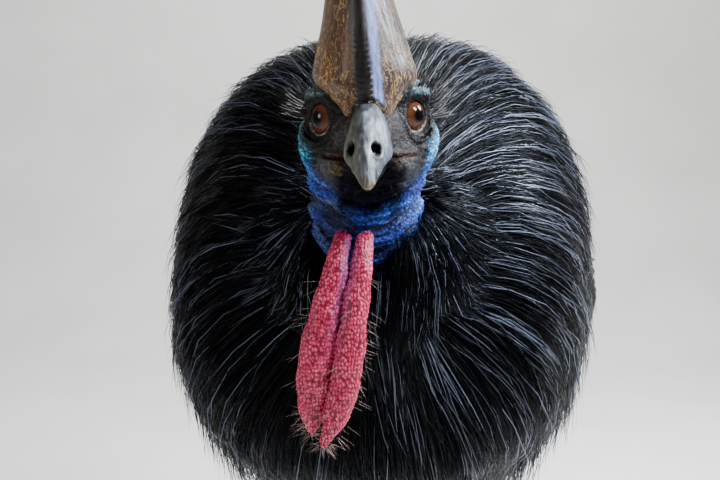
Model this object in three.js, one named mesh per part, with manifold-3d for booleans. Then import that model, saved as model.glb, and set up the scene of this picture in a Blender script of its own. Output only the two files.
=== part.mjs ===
// A life-size southern cassowary, standing with its neck drawn in.
// Millimetres, +Z up. The bird faces -Y and its left side is +X. The floor is z = 0.
import * as THREE from "three";
import { mergeVertices } from "three/addons/utils/BufferGeometryUtils.js";
import Module from "manifold-3d";

const wasm = await Module();
wasm.setup();

// Gap kept between two pieces that touch, and the smallest step that is worth a triangle.
const GAP = 0.35;
const FINEST = 0.1;
const MERGE = 1e-3;

// The outline of the coat, out to the feather tips: rounded masses that flow into one another,
// the back, the breast, the rump and the feathered root of the neck.
const COAT_MASSES = [
  { centre: [0, 20, 800], radii: [274, 400, 315], power: 2.35 },
  { centre: [0, -285, 795], radii: [223, 218, 204], power: 2.2 },
  { centre: [0, 300, 735], radii: [200, 205, 215], power: 2.1 },
  { centre: [0, -488, 850], radii: [70, 80, 84], power: 2.3 },
];
const COAT_BLEND = 70;
const COAT_CENTRE = [0, 0, 785];
const COAT_DEPTH = 26;

// The coat's locks: flat, tapered and ridged, sunk in a core and bent along the lie of the feathers.
const LOCK = { length: 245, half: 52, thick: 9, root: -38, tip: 1, rush: 1.15 };
const LOCK_SPACING = 94;
const LOCK_STEPS = 4;
const LOCK_TURN = 0.14;
const LOCK_VARY = 0.14;
const LOCK_LIFT = 2;
const LOCK_STRAIGHT = 0.8;
const FLOW_FROM = [0, -500, 905];
const RUFF = { length: 150, half: 21, thick: 6, root: -16, tip: 6, rush: 2.5 };
const RUFF_COUNT = 18;
const RUFF_RADIUS = 46;
const RUFF_DROP = 12;

// The neck, from inside the skull down into the chest, and where its bare skin meets the feathers.
const NECK_PATH = [
  [0, -550, 992],
  [0, -530, 950],
  [0, -515, 908],
  [0, -500, 870],
  [0, -455, 830],
  [0, -395, 800],
];
// The plane where the bare skin ends and the feathers begin, higher at the back.
const BORDER_AT = [0, -512, 906];
const BORDER_TILT = THREE.MathUtils.degToRad(19);
const NECK_WIDE = 50;
const NECK_DEEP = 46;
const FOLD_DEPTH = 2.2;
const FOLD_EVERY = 23;

// The head stands at the point midway between the eyes.
const HEAD_AT = [0, -590, 1000];
const HEAD_YAW = THREE.MathUtils.degToRad(2.66);
const HEAD_ROLL = THREE.MathUtils.degToRad(-1.75);
const HEAD_CENTRE = [0, 8, -12];
const HEAD_BLEND = 14;
const HEAD_MIDDLE = [
  { centre: [0, 26, -4], radii: [43, 44, 38] },
  { centre: [0, -40, -13], radii: [24, 36, 20] },
  { centre: [0, 8, -40], radii: [29, 44, 24] },
  { centre: [0, 46, -26], radii: [39, 30, 38] },
];
const HEAD_PAIRS = [
  { centre: [31, 9, 18], radii: [13, 19, 8] },
  { centre: [27, 8, -3], radii: [14, 15, 17] },
  { centre: [34, 26, -22], radii: [20, 27, 25] },
  { centre: [21, -14, -36], radii: [15, 38, 12] },
];

const EYE_RADIUS = 16;
const EYE_AT = [28, 8, 0];
const GAZE_OUT = THREE.MathUtils.degToRad(50);
const LID_THICK = 2.4;
const LID_OPENING = THREE.MathUtils.degToRad(50);

const EAR_AT = [52, 38, -12];
const EAR_RADIUS = 5;

// Rows of the casque from its root up: height, half width, front and back.
const CASQUE_ROWS = [
  [-12, 13, -48, -16],
  [4, 19, -51, -6],
  [17, 30, -51, 32],
  [30, 41.5, -50, 47],
  [50, 36, -47, 48],
  [72, 30, -43, 47],
  [95, 24.5, -38, 46],
  [120, 18.5, -30, 43],
  [145, 13, -18, 38],
  [162, 8.5, -4, 30],
  [171, 4, 6, 22],
];
const CASQUE_LEAN = -0.055;
const CASQUE_EDGE = 1.55;

// Rows of the bill from its root to the tip: y, half width, top, cutting edge and underside.
const UPPER_BILL_ROWS = [
  [-24, 13, 4, -20, -22],
  [-44, 14.5, 10, -25, -27],
  [-54, 16.5, 9, -28, -30],
  [-68, 17, 2, -31, -33],
  [-82, 13.4, -7, -35.5, -37.5],
  [-94, 9.6, -17, -40.5, -42.5],
  [-103, 6.4, -26, -44.5, -47],
  [-109, 3.6, -34, -47, -50],
];
const LOWER_BILL_ROWS = [
  [-24, 14, -23, -26, -38],
  [-46, 14.5, -28, -30, -43],
  [-66, 13.5, -33, -35, -47],
  [-84, 9.5, -38, -41, -51],
  [-98, 5.5, -44, -47, -53],
];
const NOSTRIL_AT = [11, -80, -22];
const NOSTRIL_RADII = [5, 6.5, 3.2];
const MOUTH_PATH = [
  [14, -66, -30],
  [24, -44, -28],
  [36, -24, -27],
  [47, -6, -30],
];
const MOUTH_DEEP = 1.6;

// Each wattle hangs from the front of the neck: its line, and its half width and half depth along it.
const WATTLES = {
  wattle_right: {
    path: [
      [-19, -550, 912],
      [-23, -569, 894],
      [-29, -582, 862],
      [-38, -586, 824],
      [-44, -583, 790],
      [-45, -579, 764],
      [-46, -576, 743],
    ],
    half: [
      [7, 5],
      [9, 7],
      [11.6, 8],
      [13.6, 8.5],
      [14.2, 8.5],
      [12, 8],
      [8, 6],
    ],
  },
  wattle_left: {
    path: [
      [-2, -550, 912],
      [-4, -570, 894],
      [-8, -585, 862],
      [-13, -590, 824],
      [-18, -588, 790],
      [-26, -584, 761],
      [-37, -581, 733],
    ],
    half: [
      [7, 5],
      [8.2, 6.5],
      [9.8, 7.5],
      [11.2, 8],
      [11.8, 8],
      [10.6, 7.5],
      [5.5, 5],
    ],
  },
};

const WATTLE_BULB = 0.9;
const WATTLE_BULB_EVERY = 38;

// The legs. One foot stands a step ahead of the other.
const STEP = 30;
const HIP = [112, -40, 690];
const KNEE = [122, -35, 600];
const ANKLE = [108, 124, 372];
const FOOT = [112, 78, 46];
const THIGH_HALF = [
  [78, 92],
  [72, 84],
  [52, 58],
  [31, 34],
  [22, 25],
];
// The feathered part of the leg has a core this far inside, and rings of locks down to the ankle.
const THIGH_DEPTH = 12;
const THIGH_LOCK = { length: 105, half: 15, thick: 6, root: -22, tip: 1 };
const THIGH_RINGS = [0.48, 0.7];
const THIGH_AROUND = 7;
const SHANK_HALF = [
  [23, 27],
  [17.5, 21],
  [15.5, 18.5],
  [16, 19],
  [22, 22],
];
const SHANK_SCUTES = 11;
const TOE_SCUTES = 6;
const SCUTE_STEP = 1.5;
const TOES = [
  { name: "inner", turn: -30, length: 92, thick: 14, claw: 98, rise: 5 },
  { name: "middle", turn: 4, length: 138, thick: 16, claw: 42, rise: 3 },
  { name: "outer", turn: 34, length: 104, thick: 14, claw: 36, rise: 3 },
];

// The wing is a stub on the flank that carries a few bare quills.
const WING_NEAR = [270, -110, 820];
const WING_SINK = 19;
const WING_RADII = [16, 46, 24];
const QUILLS = 5;
const QUILL_LENGTH = 270;
const QUILL_THICK = 2.6;
const QUILL_STEPS = 7;
const QUILL_STANDOFF = 5;

const COLOURS = {
  plumage: [0x0b0b0e, 0.55],
  wing: [0x15130f, 0.4],
  face: [0x2a4f8e, 0.6],
  neck: [0x16349b, 0.6],
  casque: [0x5b4a3a, 0.35],
  bill: [0x8f9390, 0.4],
  eye: [0x7a3f14, 0.1],
  wattle: [0xb93a4e, 0.55],
  leg: [0x6d6a5e, 0.6],
  claw: [0x2b2823, 0.35],
};

const vec = (p) => new THREE.Vector3(...p);

// The shape of three.js geometry as a solid for cutting and joining.
function solid(geometry) {
  const bare = geometry.toNonIndexed();
  bare.deleteAttribute("normal");
  bare.deleteAttribute("uv");
  const merged = mergeVertices(bare, MERGE);
  return new wasm.Manifold(
    new wasm.Mesh({
      numProp: 3,
      vertProperties: merged.attributes.position.array,
      triVerts: new Uint32Array(merged.index.array),
    }),
  );
}

// The largest closed surface of a solid, without the scraps and sealed hollows that cutting leaves.
function largest(made) {
  const bodies = solid(geometryOf(made.simplify(FINEST))).decompose();
  return bodies.reduce((a, b) => (b.volume() > a.volume() ? b : a));
}

function geometryOf(made) {
  const mesh = made.getMesh();
  return new THREE.BufferGeometry()
    .setAttribute("position", new THREE.BufferAttribute(mesh.vertProperties, 3))
    .setIndex(new THREE.BufferAttribute(mesh.triVerts, 1));
}

// A smooth reading of evenly spaced rows of numbers at share t of their length.
function along(rows, t) {
  const at = THREE.MathUtils.clamp(t, 0, 1) * (rows.length - 1);
  const i = Math.min(Math.floor(at), rows.length - 2);
  const row = (k) => rows[THREE.MathUtils.clamp(k, 0, rows.length - 1)];
  const s = at - i;
  return rows[0].map((_, k) => {
    const [a, b, c, d] = [row(i - 1)[k], row(i)[k], row(i + 1)[k], row(i + 2)[k]];
    const bend = s * (3 * (b - c) + d - a);
    return b + 0.5 * s * (c - a + s * (2 * a - 5 * b + 4 * c - d + bend));
  });
}

// A sphere's own grid drawn over another closed form: place(t, angle) gives each point,
// with t running from pole to pole and angle round the form.
function drawn(around, lengthwise, place) {
  const sphere = new THREE.SphereGeometry(1, around, lengthwise);
  const uv = sphere.attributes.uv;
  const position = sphere.attributes.position;
  for (let i = 0; i < position.count; i += 1) {
    const p = place(1 - uv.getY(i), uv.getX(i) * 2 * Math.PI);
    position.setXYZ(i, p.x, p.y, p.z);
  }
  const made = solid(sphere);
  return made.volume() > 0 ? made : solid(turnedOver(sphere));
}

function turnedOver(geometry) {
  const index = geometry.index.array;
  for (let i = 0; i < index.length; i += 3) {
    [index[i + 1], index[i + 2]] = [index[i + 2], index[i + 1]];
  }
  return geometry;
}

// How far a tube has swollen to its full size at share t, with round ends of the given shares.
function roundEnds(t, start, end) {
  const cap = (s) => Math.sqrt(Math.max(0, 1 - Math.max(0, 1 - s) ** 2));
  return Math.min(cap(t / start), cap((1 - t) / end));
}

// The surface of a tube along a smooth path: its half width lies across and its half depth
// lies along `up`. point(share, angle, extra, size) gives a place on or off it.
function tubeSurface({ path, half, up = [1, 0, 0] }) {
  const curve = new THREE.CatmullRomCurve3(path.map(vec));
  const frame = (t) => {
    const way = curve.getTangentAt(t);
    const across = new THREE.Vector3().crossVectors(way, vec(up)).normalize();
    return { way, across, raised: new THREE.Vector3().crossVectors(across, way) };
  };
  const point = (t, angle, extra = 0, size = 1) => {
    const { across, raised } = frame(t);
    const [wide, deep] = along(half, t);
    return curve
      .getPointAt(t)
      .addScaledVector(across, size * (wide + extra) * Math.cos(angle))
      .addScaledVector(raised, size * (deep + extra) * Math.sin(angle));
  };
  return { curve, frame, point, length: curve.getLength() };
}

// Ring places along a tube that crowd towards its ends.
const crowded = (rings) =>
  Array.from({ length: rings + 1 }, (_, i) => {
    const share = i / rings;
    return (1 - Math.cos(share * Math.PI)) * 0.25 + share * 0.5;
  });

// Such a tube as a closed form with rounded ends and a ring at each place of `stations`.
function tube({ around, stations, ends = [0.08, 0.08], grow = 0, swell = () => 0, ...shape }) {
  const surface = tubeSurface(shape);
  return drawn(around, stations.length - 1, (share, angle) => {
    const t = stations[Math.round(share * (stations.length - 1))];
    const extra = grow + swell(t * surface.length, angle, t);
    return surface
      .point(t, angle, extra, roundEnds(t, ...ends))
      .addScaledVector(surface.frame(t).way, (t - 0.5) * 2 * grow);
  });
}

// About how far a point lies outside a rounded mass, and so below zero inside it.
function outsideMass(p, { centre, radii, power = 2 }) {
  const q = [p.x, p.y, p.z].map((v, k) => Math.abs(v - centre[k]) / radii[k]);
  const reach = q.reduce((sum, v) => sum + v ** power, 0) ** (1 / power);
  const slope = Math.hypot(...q.map((v, k) => v ** (power - 1) / radii[k])) * reach ** (1 - power);
  return (reach - 1) / Math.max(slope, 1e-9);
}

function blended(a, b, width) {
  const h = Math.max(width - Math.abs(a - b), 0) / width;
  return Math.min(a, b) - h * h * width * 0.25;
}

// The distance outside several masses that flow into one another.
const form = (masses, width) => (p) =>
  masses.map((m) => outsideMass(p, m)).reduce((a, b) => blended(a, b, width));

// A form wrapped by a grid seen from its centre, at the given distance outside it.
function wrapped({ outside, centre, reach, around, rings, level = 0 }) {
  return drawn(around, rings, (share, angle) => {
    const polar = share * Math.PI;
    const ray = new THREE.Vector3(
      Math.cos(angle) * Math.sin(polar),
      -Math.cos(polar),
      Math.sin(angle) * Math.sin(polar),
    );
    let [near, far] = [0, reach];
    for (let i = 0; i < 24; i += 1) {
      const middle = (near + far) / 2;
      const at = vec(centre).addScaledVector(ray, middle);
      if (outside(at) < level) near = middle;
      else far = middle;
    }
    return vec(centre).addScaledVector(ray, near);
  });
}

const AXES = [
  [1, 0, 0],
  [0, 1, 0],
  [0, 0, 1],
].map(vec);

// The direction straight out of a form at a point.
function outwardAt(outside, p) {
  const slope = AXES.map((axis) => outside(p.clone().add(axis)) - outside(p.clone().sub(axis)));
  return vec(slope).normalize();
}

// A point moved in or out until it lies at a given distance outside the form.
function settled(outside, p, level) {
  const at = p.clone();
  for (let i = 0; i < 3; i += 1) {
    at.addScaledVector(outwardAt(outside, at), level - outside(at));
  }
  return at;
}

// Points along a form from a start, each with the way out there. At every step the line
// turns to heading(point) along the surface, at the distance level(share) outside it.
function followed({ outside, from, heading, length, steps, level }) {
  const line = [];
  let at = from.clone();
  for (let i = 0; i <= steps; i += 1) {
    at = settled(outside, at, level(i / steps));
    const out = outwardAt(outside, at);
    line.push({ at: at.clone(), out });
    const way = heading(at).projectOnPlane(out).normalize();
    at.addScaledVector(way, length / steps);
  }
  return line;
}

// A slim form drawn along such a line, with its half width and half thickness at each share.
function blade({ line, sides: count, half, thick, phase = Math.PI / 2 }) {
  const last = line.length - 1;
  return drawn(count, last, (share, angle) => {
    const i = Math.round(share * last);
    const ahead = line[Math.min(i + 1, last)].at;
    const way = ahead.clone().sub(line[Math.max(i - 1, 0)].at).normalize();
    const across = new THREE.Vector3().crossVectors(way, line[i].out).normalize();
    const raised = new THREE.Vector3().crossVectors(across, way);
    const ends = i === 0 || i === last ? 0 : 1;
    return line[i].at
      .clone()
      .addScaledVector(across, ends * half(share) * Math.cos(angle + phase))
      .addScaledVector(raised, ends * thick(share) * Math.sin(angle + phase));
  });
}

const rounded = (value, power) => Math.sign(value) * Math.abs(value) ** power;

const bird = new THREE.Group();
const head = new THREE.Group();
head.position.set(...HEAD_AT);
head.rotation.set(0, HEAD_ROLL, HEAD_YAW, "ZYX");
head.updateMatrix();
bird.add(head);

function addNode(parent, name, made, colour) {
  const [tint, roughness] = COLOURS[colour];
  const material = new THREE.MeshStandardMaterial({ color: tint, roughness, metalness: 0 });
  const kept = largest(made);
  const mesh = new THREE.Mesh(geometryOf(kept), material);
  mesh.name = name;
  parent.add(mesh);
}

// A solid made in the head's frame, moved into the bird's frame, to cut its neighbours there.
const inBird = (made) => made.transform(head.matrix.elements);

// Head

const mirrored = ({ centre: [x, y, z], ...mass }) => ({ ...mass, centre: [-x, y, z] });
const HEAD_MASSES = [...HEAD_MIDDLE, ...HEAD_PAIRS, ...HEAD_PAIRS.map(mirrored)];
const outsideHead = form(HEAD_MASSES, HEAD_BLEND);

const headForm = (level) =>
  wrapped({ outside: outsideHead, centre: HEAD_CENTRE, reach: 130, around: 24, rings: 20, level });

function casque(grow) {
  return drawn(18, 15, (share, angle) => {
    const t = (1 - Math.cos(share * Math.PI)) * 0.2 + share * 0.6;
    const [z, wide, front, back] = along(CASQUE_ROWS, t);
    const size = roundEnds(t, 0.1, 0.08);
    const middle = (front + back) / 2;
    const power = 2 / CASQUE_EDGE;
    return new THREE.Vector3(
      CASQUE_LEAN * (z - 10) + size * (wide + grow) * rounded(Math.cos(angle), power),
      middle + size * ((back - front) / 2 + grow) * rounded(Math.sin(angle), power),
      z + (t - 0.5) * 2 * grow,
    );
  });
}

// The bill's section: broad at the cutting edge, narrowed towards the culmen, and squarer
// the lower its `edge` number is.
function billForm(rows, { narrowing, edge: power }, grow, around, rings) {
  return drawn(around, rings, (share, angle) => {
    const t = (1 - Math.cos(share * Math.PI)) * 0.25 + share * 0.5;
    const [y, wide, top, edge, under] = along(rows, t);
    const size = roundEnds(t, 0.1, 0.16);
    const high = Math.sin(angle);
    const pinch = 1 - narrowing * Math.max(0, high);
    const tall = (high > 0 ? top - edge : edge - under) + grow;
    return new THREE.Vector3(
      size * (wide * pinch + grow) * rounded(Math.cos(angle), power),
      y - (t - 0.5) * 2 * grow,
      edge + size * tall * rounded(high, 0.85),
    );
  });
}

const ball = (radius, at, around, rings) =>
  solid(new THREE.SphereGeometry(radius, around, rings)).translate(at);

const sides = [
  ["left", 1],
  ["right", -1],
];

const gazeOf = (side) => new THREE.Vector3(side * Math.sin(GAZE_OUT), -Math.cos(GAZE_OUT), 0);

const eyeball = (side, grow) =>
  ball(EYE_RADIUS + grow, [side * EYE_AT[0], EYE_AT[1], EYE_AT[2]], 14, 10);

const lids = (side, grow) =>
  ball(EYE_RADIUS + LID_THICK + grow, [side * EYE_AT[0], EYE_AT[1], EYE_AT[2]], 14, 10);

// What is cut from the lids: a cone that opens from the eye's centre along its gaze.
function lidOpening(side) {
  const length = EYE_RADIUS * 2;
  const cone = new THREE.ConeGeometry(length * Math.tan(LID_OPENING), length, 16);
  cone.translate(0, -length / 2, 0);
  cone.applyQuaternion(
    new THREE.Quaternion().setFromUnitVectors(new THREE.Vector3(0, -1, 0), gazeOf(side)),
  );
  const clear = lids(side, LID_THICK);
  return solid(cone).translate([side * EYE_AT[0], EYE_AT[1], EYE_AT[2]]).intersect(clear);
}

const mirrorPath = (path, side) => path.map(([x, y, z]) => [side * x, y, z]);

const mouthLine = (side) =>
  tube({
    path: mirrorPath(MOUTH_PATH, side),
    half: [[3, MOUTH_DEEP / 2], [3, MOUTH_DEEP / 2], [2.4, MOUTH_DEEP / 2]],
    around: 6,
    stations: crowded(8),
    up: [0, 0, 1],
  });

const nostril = (side) =>
  solid(new THREE.SphereGeometry(1, 10, 8))
    .scale(NOSTRIL_RADII)
    .rotate([38, 0, side * 14])
    .translate([side * NOSTRIL_AT[0], NOSTRIL_AT[1], NOSTRIL_AT[2]]);

const ear = (side) => ball(EAR_RADIUS, [side * EAR_AT[0], EAR_AT[1], EAR_AT[2]], 8, 6);

const UPPER_SECTION = { narrowing: 0.16, edge: 0.68 };
const LOWER_SECTION = { narrowing: 0.1, edge: 0.85 };
const upperBill = (grow) => billForm(UPPER_BILL_ROWS, UPPER_SECTION, grow, 14, 12);
const lowerBill = (grow) => billForm(LOWER_BILL_ROWS, LOWER_SECTION, grow, 10, 8);

let skull = headForm(0);
for (const [, side] of sides) {
  skull = skull.add(lids(side, 0)).subtract(lidOpening(side));
}
for (const [name, side] of sides) {
  skull = skull.subtract(eyeball(side, GAP)).subtract(mouthLine(side)).subtract(ear(side));
  addNode(head, `eye_${name}`, eyeball(side, 0), "eye");
}
skull = skull.subtract(casque(GAP)).subtract(upperBill(GAP)).subtract(lowerBill(GAP));

let casqueSolid = casque(0).subtract(upperBill(GAP));
for (const [, side] of sides) {
  casqueSolid = casqueSolid.subtract(lids(side, GAP));
}
addNode(head, "head", skull, "face");
addNode(head, "casque", casqueSolid, "casque");
addNode(head, "bill_upper", upperBill(0).subtract(nostril(1)).subtract(nostril(-1)), "bill");
addNode(head, "bill_lower", lowerBill(0).subtract(upperBill(GAP)), "bill");

// Coat, neck and wattles

const outsideCoat = form(COAT_MASSES, COAT_BLEND);

// The lie of the feathers: out from the neck at first, then more and more downwards.
function lie(p) {
  const away = p.clone().sub(vec(FLOW_FROM));
  const down = THREE.MathUtils.clamp((away.length() - 150) / 250, 0, 1) * 0.8 + 0.2;
  return away.normalize().add(new THREE.Vector3(0, 0.35 * down, -down));
}

// Roots spread evenly over a form: points of a spiral on a ball, thrown onto the form, are kept
// where no root that was kept before lies within the spacing.
function spreadRoots(outside, level, spacing) {
  const roots = [];
  const tries = 3000;
  for (let i = 0; i < tries; i += 1) {
    const z = 1 - (2 * (((i * 0.754877666) % 1) + 0.5 / tries));
    const turn = i * 2.399963;
    const ring = Math.sqrt(Math.max(0, 1 - z * z));
    const ray = new THREE.Vector3(ring * Math.cos(turn), ring * Math.sin(turn), z);
    const start = vec(COAT_CENTRE).add(ray.multiply(new THREE.Vector3(250, 470, 290)));
    const at = settled(outside, start, level);
    if (roots.every((other) => other.distanceTo(at) > spacing)) roots.push(at);
  }
  return roots;
}

// An even spread of seeded draws from -1 to 1, so that every build varies its locks alike.
const draw = (i, kind) => 2 * ((Math.abs(Math.sin(i * 12.9898 + kind * 78.233)) * 43758.5453) % 1) - 1;

// The outline of a lock: widest a third of the way down, then tapered to its tip.
const leaf = (t) => Math.sin(Math.PI * Math.min(1, 0.18 + t * 0.8)) ** 0.7;

function coatLock(from, i, { length, half, thick, root, tip, rush }) {
  const turn = LOCK_TURN * draw(i, 1);
  const reach = length * (1 + LOCK_VARY * draw(i, 2));
  const rise = tip + LOCK_LIFT * draw(i, 3) - root;
  const line = followed({
    outside: outsideCoat,
    from,
    heading: (p) => lie(p).applyAxisAngle(outwardAt(outsideCoat, p), turn),
    length: reach,
    steps: LOCK_STEPS,
    level: (t) => root + rise * Math.min(1, t * rush),
  });
  // Where the feathers meet from all sides, a lock would turn back on itself, so none grows.
  if (line[0].at.distanceTo(line[LOCK_STEPS].at) < LOCK_STRAIGHT * reach) return [];
  const wide = half * (1 + LOCK_VARY * draw(i, 4));
  return blade({
    line,
    sides: 3,
    half: (t) => wide * leaf(t),
    thick: (t) => thick * (1 - 0.75 * t),
  });
}

const coatForm = (level) =>
  wrapped({ outside: outsideCoat, centre: COAT_CENTRE, reach: 700, around: 20, rings: 16, level });

const folds = (run) => FOLD_DEPTH * Math.sin((run * 2 * Math.PI) / FOLD_EVERY);

const neckForm = (grow) =>
  tube({
    path: NECK_PATH,
    half: [
      [NECK_WIDE, NECK_DEEP],
      [NECK_WIDE, NECK_DEEP],
      [NECK_WIDE + 10, NECK_DEEP + 10],
    ],
    around: 16,
    stations: crowded(22),
    up: [0, 1, 0],
    grow,
    swell: folds,
  });

// The part of a solid above the border of the bare skin, and below it.
const borderUp = new THREE.Vector3(0, -Math.sin(BORDER_TILT), Math.cos(BORDER_TILT));
const borderHeight = borderUp.dot(vec(BORDER_AT));
const aboveBorder = (made) => made.trimByPlane(borderUp.toArray(), borderHeight + GAP / 2);
const belowBorder = (made, gap) =>
  made.trimByPlane(borderUp.clone().negate().toArray(), gap - borderHeight);

const bareNeck = aboveBorder(neckForm(0))
  .subtract(inBird(headForm(GAP)))
  .subtract(coatForm(GAP - COAT_DEPTH));
addNode(bird, "neck", bareNeck, "neck");

// The wattle's surface swells into bulbs that run round it in a slow spiral.
const bulbs = (run, angle) =>
  WATTLE_BULB * Math.sin((run * 2 * Math.PI) / WATTLE_BULB_EVERY) * Math.cos(2 * angle + run / 30);

const wattle = ({ path, half }, grow) =>
  tube({
    path,
    half,
    around: 12,
    stations: crowded(18),
    up: [0, 1, 0],
    ends: [0.1, 0.14],
    grow,
    swell: bulbs,
  });

const rightWattle = wattle(WATTLES.wattle_right, 0).subtract(neckForm(GAP));
const leftWattle = wattle(WATTLES.wattle_left, 0)
  .subtract(neckForm(GAP))
  .subtract(wattle(WATTLES.wattle_right, GAP));
addNode(bird, "wattle_right", rightWattle, "wattle");
addNode(bird, "wattle_left", leftWattle, "wattle");

// Legs

const floorSlab = solid(new THREE.BoxGeometry(2000, 2000, 200)).translate([0, 0, -100]);
const onFloor = (made) => made.subtract(floorSlab);

// A point of the leg on one side, moved by its share of the step.
const legPoint = ([x, y, z], side, share) => [side * x, y - side * STEP * share, z];

const thighShape = (side) => ({
  path: [
    legPoint(HIP, side, 0),
    legPoint(KNEE, side, 0.3),
    legPoint(
      KNEE.map((v, k) => (v + ANKLE[k]) / 2),
      side,
      0.6,
    ),
    legPoint(ANKLE, side, 1),
  ],
  half: THIGH_HALF,
  up: [0, 1, 0],
});

const thighCore = (side, grow) =>
  tube({ ...thighShape(side), around: 12, stations: crowded(9), ends: [0.12, 0.06], grow: grow - THIGH_DEPTH });

// A lock of the leg, which runs straight down its tube from a ring and an angle round it.
function legLock(surface, ring, angle, { length, half, thick, root, tip }) {
  const line = Array.from({ length: LOCK_STEPS + 1 }, (_, i) => {
    const share = i / LOCK_STEPS;
    const t = Math.min(1, ring + (share * length) / surface.length);
    const level = root + (tip - root) * Math.min(1, share * 1.3);
    const at = surface.point(t, angle, level);
    return { at, out: surface.point(t, angle, level + 1).sub(at).normalize() };
  });
  return blade({
    line,
    sides: 3,
    half: (t) => half * leaf(t),
    thick: (t) => thick * (1 - 0.75 * t),
  });
}

function thigh(side) {
  const surface = tubeSurface(thighShape(side));
  const made = [];
  THIGH_RINGS.forEach((ring, row) => {
    for (let i = 0; i < THIGH_AROUND; i += 1) {
      const angle = ((i + 0.5 * row) * 2 * Math.PI) / THIGH_AROUND;
      made.push(legLock(surface, ring, angle, THIGH_LOCK));
    }
  });
  const below = wasm.Manifold.union(made).subtract(coatForm(LOCK.tip + LOCK.thick / 2));
  return below.add(thighCore(side, 0).subtract(coatForm(GAP - COAT_DEPTH)));
}

// Each scute swells towards its lower edge, on the front or top only, and the next one starts low.
const scuteSwell = (count) => (_, angle, t) =>
  SCUTE_STEP * ((t * count) % 1) * Math.max(0, Math.sin(angle)) ** 0.5;

// A ring just before and just after the edge of each scute.
function scuteStations(count) {
  const edges = Array.from({ length: count - 1 }, (_, i) => (i + 1) / count);
  const lip = 0.08 / count;
  return [0, 0.015, ...edges.flatMap((t) => [t - lip, t + lip]), 0.985, 1];
}

const shank = (side, grow) =>
  tube({
    path: [
      legPoint([ANKLE[0], ANKLE[1] + 2, ANKLE[2] + 14], side, 1),
      legPoint(
        ANKLE.map((v, k) => (v + FOOT[k]) / 2 - (k === 1 ? 4 : 0)),
        side,
        1,
      ),
      legPoint([FOOT[0], FOOT[1], FOOT[2] + 12], side, 1),
      legPoint([FOOT[0], FOOT[1] - 10, FOOT[2] - 30], side, 1),
    ],
    half: SHANK_HALF,
    around: 10,
    stations: scuteStations(SHANK_SCUTES),
    up: [0, -1, 0],
    ends: [0.03, 0.04],
    grow,
    swell: grow ? () => SCUTE_STEP : scuteSwell(SHANK_SCUTES),
  });

const toeHeading = ({ turn }, side) => {
  const angle = THREE.MathUtils.degToRad(turn);
  return new THREE.Vector3(side * Math.sin(angle), -Math.cos(angle), 0);
};

function toe(spec, side, grow) {
  const heading = toeHeading(spec, side);
  const root = vec(legPoint([FOOT[0], FOOT[1] - 4, spec.thick - 2], side, 1));
  const at = (share, lift) =>
    root.clone().addScaledVector(heading, share * spec.length).setZ(lift).toArray();
  const low = spec.thick - 3;
  return tube({
    path: [at(0, low + 8), at(0.3, low + 3), at(0.6, low), at(1, low - 2)],
    half: [
      [spec.thick + 2, spec.thick],
      [spec.thick, spec.thick - 1],
      [spec.thick + 1, spec.thick - 1],
      [spec.thick - 3, spec.thick - 4],
    ],
    around: 8,
    stations: scuteStations(TOE_SCUTES),
    up: [0, 0, 1],
    ends: [0.06, 0.07],
    grow,
    swell: grow ? () => SCUTE_STEP : scuteSwell(TOE_SCUTES),
  });
}

function claw(spec, side) {
  const heading = toeHeading(spec, side);
  const root = vec(legPoint([FOOT[0], FOOT[1] - 4, 0], side, 1)).addScaledVector(
    heading,
    spec.length - 12,
  );
  const at = (share, lift) =>
    root.clone().addScaledVector(heading, share * (spec.claw + 12)).setZ(lift).toArray();
  const thick = spec.thick - 5;
  return tube({
    path: [at(0, thick + 3), at(0.4, thick + spec.rise), at(0.75, thick), at(1, 3)],
    half: [[thick, thick], [thick - 1, thick - 0.5], [thick * 0.55, thick * 0.6], [1, 1.2]],
    around: 6,
    stations: crowded(8),
    up: [0, 0, 1],
    ends: [0.06, 0.05],
  });
}

// Coat

const coatRoots = spreadRoots(outsideCoat, LOCK.root, LOCK_SPACING);

// The ruff's roots stand in a ring about the neck, where the bare skin ends.
const ruffRoots = Array.from({ length: RUFF_COUNT }, (_, i) => {
  const angle = (i * 2 * Math.PI) / RUFF_COUNT;
  const at = vec(FLOW_FROM);
  at.x += RUFF_RADIUS * Math.cos(angle);
  at.y += RUFF_RADIUS * Math.sin(angle);
  at.z += RUFF_RADIUS * Math.tan(BORDER_TILT) * Math.sin(angle) - RUFF_DROP;
  return at;
});

const locks = [
  ...coatRoots.flatMap((root, i) => coatLock(root, i, LOCK)),
  ...ruffRoots.flatMap((root, i) => coatLock(root, i, RUFF)),
];

// Wings

function wing(side, grow) {
  const root = settled(outsideCoat, vec(legPoint(WING_NEAR, side, 0)), -WING_SINK);
  const stub = solid(new THREE.SphereGeometry(1, 10, 8))
    .scale(WING_RADII.map((radius) => radius + grow))
    .rotate([-35, 0, 0])
    .translate(root.toArray());
  const quills = Array.from({ length: QUILLS }, (_, i) => {
    const share = i / (QUILLS - 1);
    const line = followed({
      outside: outsideCoat,
      from: root.clone().add(new THREE.Vector3(0, 18 - 16 * share, 5 - 14 * share)),
      heading: () => new THREE.Vector3(0, 1 - 0.25 * share, -0.25 - 0.75 * share),
      length: QUILL_LENGTH * (1 - 0.2 * Math.abs(share - 0.4)),
      steps: QUILL_STEPS,
      level: (t) => -WING_SINK + (QUILL_STANDOFF + WING_SINK) * Math.min(1, t * 5),
    });
    const taper = (t) => QUILL_THICK * (1 - 0.75 * t) + 2 * grow;
    return blade({ line, sides: 3, half: taper, thick: taper });
  });
  return wasm.Manifold.union([stub, ...quills]);
}

const torsoCore = (grow) => coatForm(grow - COAT_DEPTH);
const neckRoot = belowBorder(neckForm(0), GAP / 2);
const hanging = wasm.Manifold.union(Object.values(WATTLES).map((spec) => wattle(spec, GAP)));
let plumage = wasm.Manifold.union(locks).subtract(aboveBorder(neckForm(GAP))).subtract(hanging);

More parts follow.
